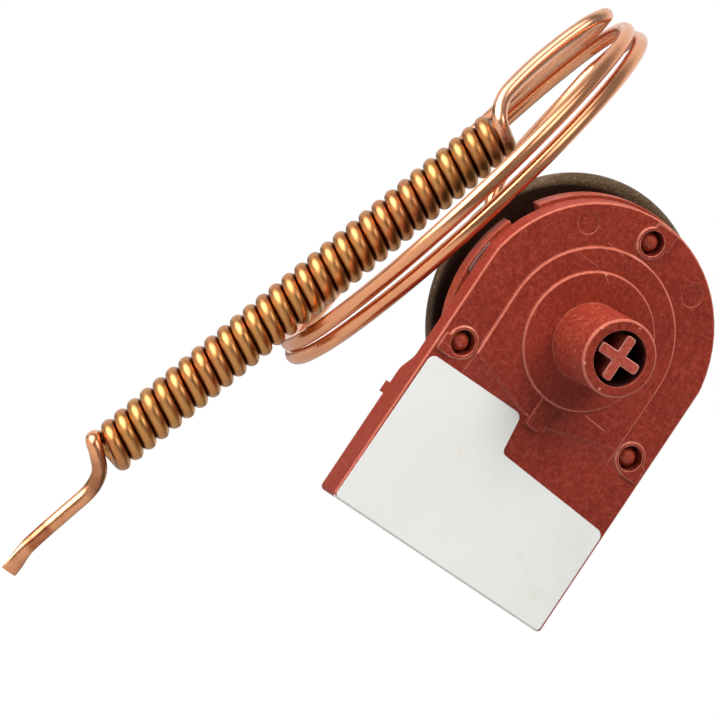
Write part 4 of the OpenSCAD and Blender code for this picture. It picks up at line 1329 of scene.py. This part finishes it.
def turned(name: str, radius: np.ndarray, depth: np.ndarray, centre: tuple[float, float],
           steps: int = 128) -> bpy.types.Object:
    """Turns a closed profile about a line along Y.

    A point is centre.x + r cos(a), y and centre.z + r sin(a) for each profile place.

    Args:
        name: The object's name.
        radius: Radii of the profile in millimetres.
        depth: Y of the profile in millimetres.
        centre: X and Z of the line in millimetres.
        steps: Steps round the line.

    Returns:
        The turned mesh object.
    """
    angle = np.arange(steps) * 2 * np.pi / steps
    r = radius[:, None]
    y = np.broadcast_to(depth[:, None], (len(depth), steps))
    points = np.stack([centre[0] + r * np.cos(angle), y, centre[1] + r * np.sin(angle)], axis=2)
    rim = np.arange(steps)
    after = (rim + 1) % steps
    last = (len(radius) - 1) * steps
    closing = np.stack([last + rim, last + after, after, rim], axis=1)
    faces = np.concatenate([grid_faces(len(radius), steps), closing])
    return mesh_object(name, points.reshape(-1, 3) * MM, faces)


@dataclass
class SolderJoint:
    """The solder fillet where the tube enters the ferrule."""

    ferrule: Ferrule
    tube_r: float = 1.25
    height: float = 0.55
    width: float = 0.5
    gap: float = 0.02
    overlap: float = 0.1
    steps: int = 12

    def build(self) -> bpy.types.Object:
        """Builds a hollow curved ring: its radius falls with the square of its height.

        Returns:
            The fillet as a closed mesh object.
        """
        u = np.linspace(0.0, 1.0, self.steps)
        outer_r = self.tube_r + self.gap + self.width * (1 - u) ** 2
        outer_y = self.ferrule.rear + self.height * u
        inner_r = self.tube_r - self.overlap
        profile_r = np.concatenate([[inner_r], outer_r, [inner_r]])
        profile_y = np.concatenate([[self.ferrule.rear - self.overlap], outer_y, outer_y[-1:]])
        return turned("solder_fillet", profile_r, profile_y, (0.0, self.ferrule.z))


def fit(piece: bpy.types.Object, finish: bpy.types.Material, body: Body,
        node: Union[str, None] = None) -> None:
    """Gives a new piece its finish, its body and the node that it stands for.

    Args:
        piece: The new piece.
        finish: What it wears.
        body: The body that it rides on.
        node: The node that it replaces, if it replaces one.
    """
    piece.data.materials.clear()
    piece.data.materials.append(finish)
    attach(piece, body.value)
    if node is not None:
        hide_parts(node)
    LOG.info("%s rides on %s and wears %s", piece.name, body.value, finish.name)


@dataclass
class CoilSprings:
    """The coil springs, as copies that ride with the pieces that they push on.

    Each is a copy of its node. The reset spring is pushed from both ends, so it is cut in two
    at its middle, which stays where it is. Its lengths and the joints' travels are metres, as the
    frame has them.
    """

    finish: bpy.types.Material
    nodes: dict[str, bpy.types.Object]
    travels: dict[str, float]
    weld: float = 1e-7

    def copy(self, node: str, name: str, body: Body) -> bpy.types.Object:
        """Makes a piece that stands for a spring's node, or for one end of it.

        Args:
            node: The node's name.
            name: The new piece's name.
            body: The body that it rides on.

        Returns:
            The piece, with the node's shape.
        """
        made = bpy.data.objects.new(name, self.nodes[node].data.copy())
        bpy.context.scene.collection.objects.link(made)
        fit(made, self.finish, body, node)
        return made

    def cut(self, piece: bpy.types.Object, middle: float, keeps_front: bool) -> None:
        """Cuts a spring across at one depth, keeps one end of it and closes the cut.

        Args:
            piece: The spring.
            middle: The depth of the cut in metres.
            keeps_front: True to keep the end towards the face.
        """
        work = bmesh.new()
        work.from_mesh(piece.data)
        bmesh.ops.remove_doubles(work, verts=work.verts[:], dist=self.weld)
        whole = work.verts[:] + work.edges[:] + work.faces[:]
        bmesh.ops.bisect_plane(work, geom=whole, plane_co=(0.0, middle, 0.0), plane_no=(0.0, 1.0, 0.0),
                               clear_outer=keeps_front, clear_inner=not keeps_front)
        cap(work)
        bmesh.ops.triangulate(work, faces=work.faces[:])
        bmesh.ops.recalc_face_normals(work, faces=work.faces[:])
        work.to_mesh(piece.data)
        work.free()

    def shorten(self, piece: bpy.types.Object) -> None:
        """Gives a spring, or one end of it, a mesh of its own.

        Args:
            piece: The spring, or one end of it.
        """
        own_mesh(piece)

    def build(self) -> None:
        """Builds the three bridge springs and both ends of the reset spring."""
        for pole in POLES:
            node = f"bridge_spring_{pole}"
            (_, front, _), (_, rear, _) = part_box(node)
            piece = self.copy(node, f"coil_{pole}", Body.CARRIER)
            self.shorten(piece)
        (_, front, _), (_, rear, _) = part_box("reset_spring")
        middle = (front + rear) / 2
        ahead = self.copy("reset_spring", "reset_coil_front", Body.CASE)
        self.cut(ahead, middle, True)
        self.shorten(ahead)
        behind = self.copy("reset_spring", "reset_coil_rear", Body.CARRIER)
        self.cut(behind, middle, False)
        self.shorten(behind)


@dataclass
class Finishes:
    """All finishes of the frame's nodes, and which node wears which."""

    base: Moulding = Moulding("base_moulding", (0.39, 0.058, 0.028), DEEP_RED, SALMON, rough=0.36)
    button: Moulding = Moulding("button_moulding", (0.44, 0.072, 0.050), (0.26, 0.032, 0.02),
                                (0.88, 0.46, 0.36), edge_radius=0.4, edge_highlight_and_wear_share=0.9)
    dark: Moulding = Moulding("dark_moulding", (0.045, 0.036, 0.03), (0.02, 0.018, 0.016),
                              (0.12, 0.11, 0.10))
    film: LabelFilm = LabelFilm("label_film", FILM_WHITE, (0.76, 0.77, 0.75), (0.70, 0.66, 0.50))
    steel: Metal = Metal("plate_steel", (0.42, 0.42, 0.42), (0.20, 0.19, 0.18), 0.34)
    spring: Metal = Metal("spring_steel", (0.36, 0.37, 0.39), (0.16, 0.16, 0.16), 0.28)
    brass: Metal = Metal("rolled_brass", (0.62, 0.44, 0.17), (0.38, 0.25, 0.09), 0.3)
    silver: Metal = Metal("contact_silver", (0.72, 0.71, 0.69), (0.45, 0.44, 0.42), 0.26)
    foil: Metal = Metal("diaphragm_foil", (0.52, 0.46, 0.34), (0.33, 0.28, 0.2), 0.26)
    olive: PassivatedSteel = PassivatedSteel("olive_steel", (0.085, 0.050, 0.024),
                                             (0.055, 0.029, 0.013), (0.22, 0.175, 0.115))

    def nodes(self) -> dict[str, bpy.types.Material]:
        """Makes each finish once.

        Returns:
            The finish of every node, by the node's name.
        """
        (_, _, label_end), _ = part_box("label")
        cover = CoverMoulding("cover_moulding", RED, DEEP_RED, SALMON, label_end=label_end)
        springs = ["reset_spring", "snap_spring"]
        conductors = ["calibration_screw", "ferrule"]
        tips = ["fixed_tips"]
        for pole in POLES:
            springs.append(f"bridge_spring_{pole}")
            conductors += [f"bridge_{pole}", f"terminal_line_{pole}", f"terminal_load_{pole}"]
            tips.append(f"bridge_tips_{pole}")
        wearers = (
            (cover, ["front_cover"]),
            (self.base, ["base_housing"]),
            (self.button, ["reset_button"]),
            (self.dark, ["contact_carrier"]),
            (self.film, ["label"]),
            (self.steel, ["fulcrum_plate", "lever_pin", "trip_lever", "thrust_pin", "disc_rivets"]),
            (self.spring, springs),
            (self.brass, conductors),
            (self.silver, tips),
            (self.foil, ["diaphragm_front", "diaphragm_rear"]),
            (self.olive, ["pressure_disc"]),
        )
        worn = {}
        for finish, names in wearers:
            worn.update(dict.fromkeys(names, finish.material()))
        return worn

    def dress(self, nodes: dict[str, bpy.types.Object]) -> dict[str, bpy.types.Material]:
        """Gives every node of the frame its finish.

        Args:
            nodes: The frame's objects by node name.

        Returns:
            The finishes by node name.
        """
        worn = self.nodes()
        for name, material in worn.items():
            wearer = nodes[name]
            if not wearer.material_slots:
                wearer.data.materials.append(material)
            for place in wearer.material_slots:
                place.material = material
            LOG.info("%s wears %s", name, material.name)
        return worn


@dataclass(frozen=True)
class Lamp:
    """One soft lamp that looks at the object, which reflections don't show.

    Its way is its direction as shares of picture right, picture up and towards the camera.
    Its distance and its size are metres.
    """

    name: str
    way: Way
    distance: float
    size: float
    watts: float
    colour: Colour


@dataclass(frozen=True)
class SoftBox:
    """A bright patch of the surround that only reflections show.

    Its way is as a lamp's. It has its full level within the inner angle of it, in degrees,
    and runs out at the outer one.
    """

    way: Way
    inner: float
    outer: float
    level: float


@dataclass
class Studio:
    """The camera at the photograph's angle, soft lamps, a pale floor and a white surround.

    The eye is in millimetres, and the lamps' and the floor's places are metres. room_way and
    backdrop_way are shares of picture right, picture up and towards the camera, and the
    other ways are directions in the frame.
    """

    eye: Place = (-433.48, -849.60, -42.29)
    right: Way = (0.74666, -0.36564, 0.55570)
    down: Way = (0.50982, -0.22207, -0.83113)
    ahead: Way = (0.42730, 0.90388, 0.02060)
    focal_pixels: float = 6000.0
    near: float = 0.05
    far: float = 20.0
    lamp_target: Place = (-0.015, 0.02, 0.0)
    lamp_upright: Way = (0.3, 0.2, 0.93)
    floor_z: float = -0.135
    floor_half: float = 4.0
    floor_grey: float = 0.6
    floor_glow: float = 0.97
    ambient: float = 0.045
    dark_room: float = 0.16
    grey_room: float = 0.32
    room_way: Way = (0.9, -0.2, 0.3)
    room_from: float = -0.2
    room_full: float = 0.6
    backdrop_way: Way = (0.0, 0.1, -1.0)
    backdrop_from: float = 0.15
    backdrop_full: float = 0.6
    lamps: tuple[Lamp, ...] = (
        Lamp("key", (0.66, 0.45, 0.6), 0.8, 0.42, 5.8, (1.0, 0.99, 0.97)),
        Lamp("overhead", (0.05, 0.93, 0.33), 0.8, 0.32, 5.2, (1.0, 0.985, 0.96)),
        Lamp("left_softbox", (-0.55, 0.68, 0.5), 0.8, 0.3, 3.1, (1.0, 0.99, 0.98)),
        Lamp("rear", (-0.2, 0.6, -0.8), 0.9, 0.4, 2.5, (1.0, 1.0, 1.0)))
    softboxes: tuple[SoftBox, ...] = (
        SoftBox((0.66, 0.45, 0.6), 9.0, 20.0, 3.2),
        SoftBox((-0.48, 0.72, 0.45), 21.0, 35.0, 7.0),
        SoftBox((0.05, 0.93, 0.33), 9.0, 22.0, 2.4))

    def axes(self) -> np.ndarray:
        """Returns the picture's right, its up and the way back to the camera, one row each."""
        return np.array([self.right, -np.array(self.down), -np.array(self.ahead)])

    def way(self, shares: Sequence[float]) -> np.ndarray:
        """Returns a direction from its shares of picture right, picture up and towards the camera."""
        return unit(np.asarray(shares, dtype=float) @ self.axes())

    def camera(self) -> None:
        """Places the camera by its eye and the directions of the picture's axes."""
        lens = bpy.data.cameras.new("view")
        lens.sensor_width = SENSOR_WIDTH
        lens.lens = self.focal_pixels / PICTURE_SIDE * SENSOR_WIDTH
        lens.clip_start = self.near
        lens.clip_end = self.far
        made = bpy.data.objects.new("view", lens)
        bpy.context.scene.collection.objects.link(made)
        turn, _, turn_back = np.linalg.svd(self.axes().T)
        frame = np.eye(4)
        frame[:3, :3] = turn @ turn_back
        frame[:3, 3] = np.array(self.eye) * MM
        made.matrix_world = Matrix(frame.tolist())
        bpy.context.scene.camera = made

    def hang(self, lamp: Lamp) -> None:
        """Adds one soft lamp that looks at the object.

        Args:
            lamp: What it is and where it hangs.
        """
        light = bpy.data.lights.new(lamp.name, "AREA")
        light.shape = "SQUARE"
        light.size = lamp.size
        light.energy = lamp.watts
        light.color = lamp.colour
        made = bpy.data.objects.new(lamp.name, light)
        made.visible_glossy = False
        bpy.context.scene.collection.objects.link(made)
        away = self.way(lamp.way)
        side = unit(np.cross(away, np.array(self.lamp_upright)))
        frame = np.eye(4)
        frame[:3, :3] = np.array([side, np.cross(away, side), away]).T
        frame[:3, 3] = away * lamp.distance + np.array(self.lamp_target)
        made.matrix_world = Matrix(frame.tolist())

    def world(self) -> None:
        """Makes a surround that is white to the eye, dim to the plastic and uneven to the metal.

        Polished metal sees the white backdrop behind the object, the softboxes, a grey room
        at its right and a dark one at its left.
        """
        g = Graph("surround", True)
        bpy.context.scene.world = g.owner
        rays = g.node("ShaderNodeLightPath").outputs
        way = g.node("ShaderNodeTexCoord").outputs["Generated"]
        behind = g.along(way, self.way(self.backdrop_way))
        backdrop = g.span(behind, self.backdrop_from, self.backdrop_full)
        beside = g.along(way, self.way(self.room_way))
        room = g.span(beside, self.room_from, self.room_full, self.dark_room, self.grey_room)
        reflected = g.math("MAXIMUM", backdrop, room)
        for box in self.softboxes:
            outer, inner = (float(np.cos(np.radians(angle))) for angle in (box.outer, box.inner))
            patch = g.span(g.along(way, self.way(box.way)), outer, inner, 0.0, box.level)
            reflected = g.math("MAXIMUM", reflected, patch)
        mirrored = g.times(reflected, rays["Is Glossy Ray"])
        seen = g.math("MAXIMUM", rays["Is Camera Ray"], rays["Is Transmission Ray"])
        plain = g.times(g.math("SUBTRACT", 1.0, rays["Is Glossy Ray"]), self.ambient)
        shade = g.node("ShaderNodeBackground")
        g.feed(shade.inputs["Color"], (1.0, 1.0, 1.0, 1.0))
        g.feed(shade.inputs["Strength"], g.math("MAXIMUM", g.math("ADD", mirrored, plain), seen))
        output = g.node("ShaderNodeOutputWorld")
        g.feed(output.inputs["Surface"], shade.outputs[0])

    def floor(self) -> None:
        """Lays a pale floor below the object, white to the eye but for the soft shadow."""
        corners = np.array([[-1.0, -1.0], [1.0, -1.0], [1.0, 1.0], [-1.0, 1.0]]) * self.floor_half
        points = np.column_stack([corners, np.full(4, self.floor_z)])
        made = mesh_object("floor", points, np.array([[0, 1, 2, 3]]), False)
        g = Graph("pale_floor")
        seen = g.node("ShaderNodeLightPath").outputs["Is Camera Ray"]
        diffuse = g.node("ShaderNodeBsdfDiffuse")
        g.feed(diffuse.inputs["Color"], (self.floor_grey, self.floor_grey, self.floor_grey, 1.0))
        glow = g.node("ShaderNodeEmission")
        g.feed(glow.inputs["Strength"], g.times(seen, self.floor_glow))
        both = g.node("ShaderNodeAddShader")
        g.feed(both.inputs[0], diffuse.outputs[0])
        g.feed(both.inputs[1], glow.outputs[0])
        output = g.node("ShaderNodeOutputMaterial")
        g.feed(output.inputs["Surface"], both.outputs[0])
        made.data.materials.append(g.owner)

    def build(self) -> None:
        """Sets up the camera, lamps, surround and floor."""
        self.camera()
        for lamp in self.lamps:
            self.hang(lamp)
        self.world()
        self.floor()
        bpy.context.scene.view_settings.view_transform = "Standard"
        LOG.info("studio ready")


def main() -> None:
    """Loads the frame, dresses its nodes, adds the drawn pieces and sets up the studio."""
    logging.basicConfig(level=logging.INFO, format="%(name)s: %(message)s")
    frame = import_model()
    Studio().build()
    worn = Finishes().dress(frame["nodes"])
    ferrule = Ferrule.measured()
    fit(CopperTube(ferrule).build(), CopperSkin().material(), Body.CASE, "copper_tube")
    fit(SolderJoint(ferrule).build(), worn["fixed_tips"], Body.CASE)
    travels = {joint["name"]: max(map(abs, joint["range_m"]))
               for joint in frame["joints"] if "range_m" in joint}
    CoilSprings(worn["snap_spring"], frame["nodes"], travels).build()


if __name__ == "__main__":
    main()
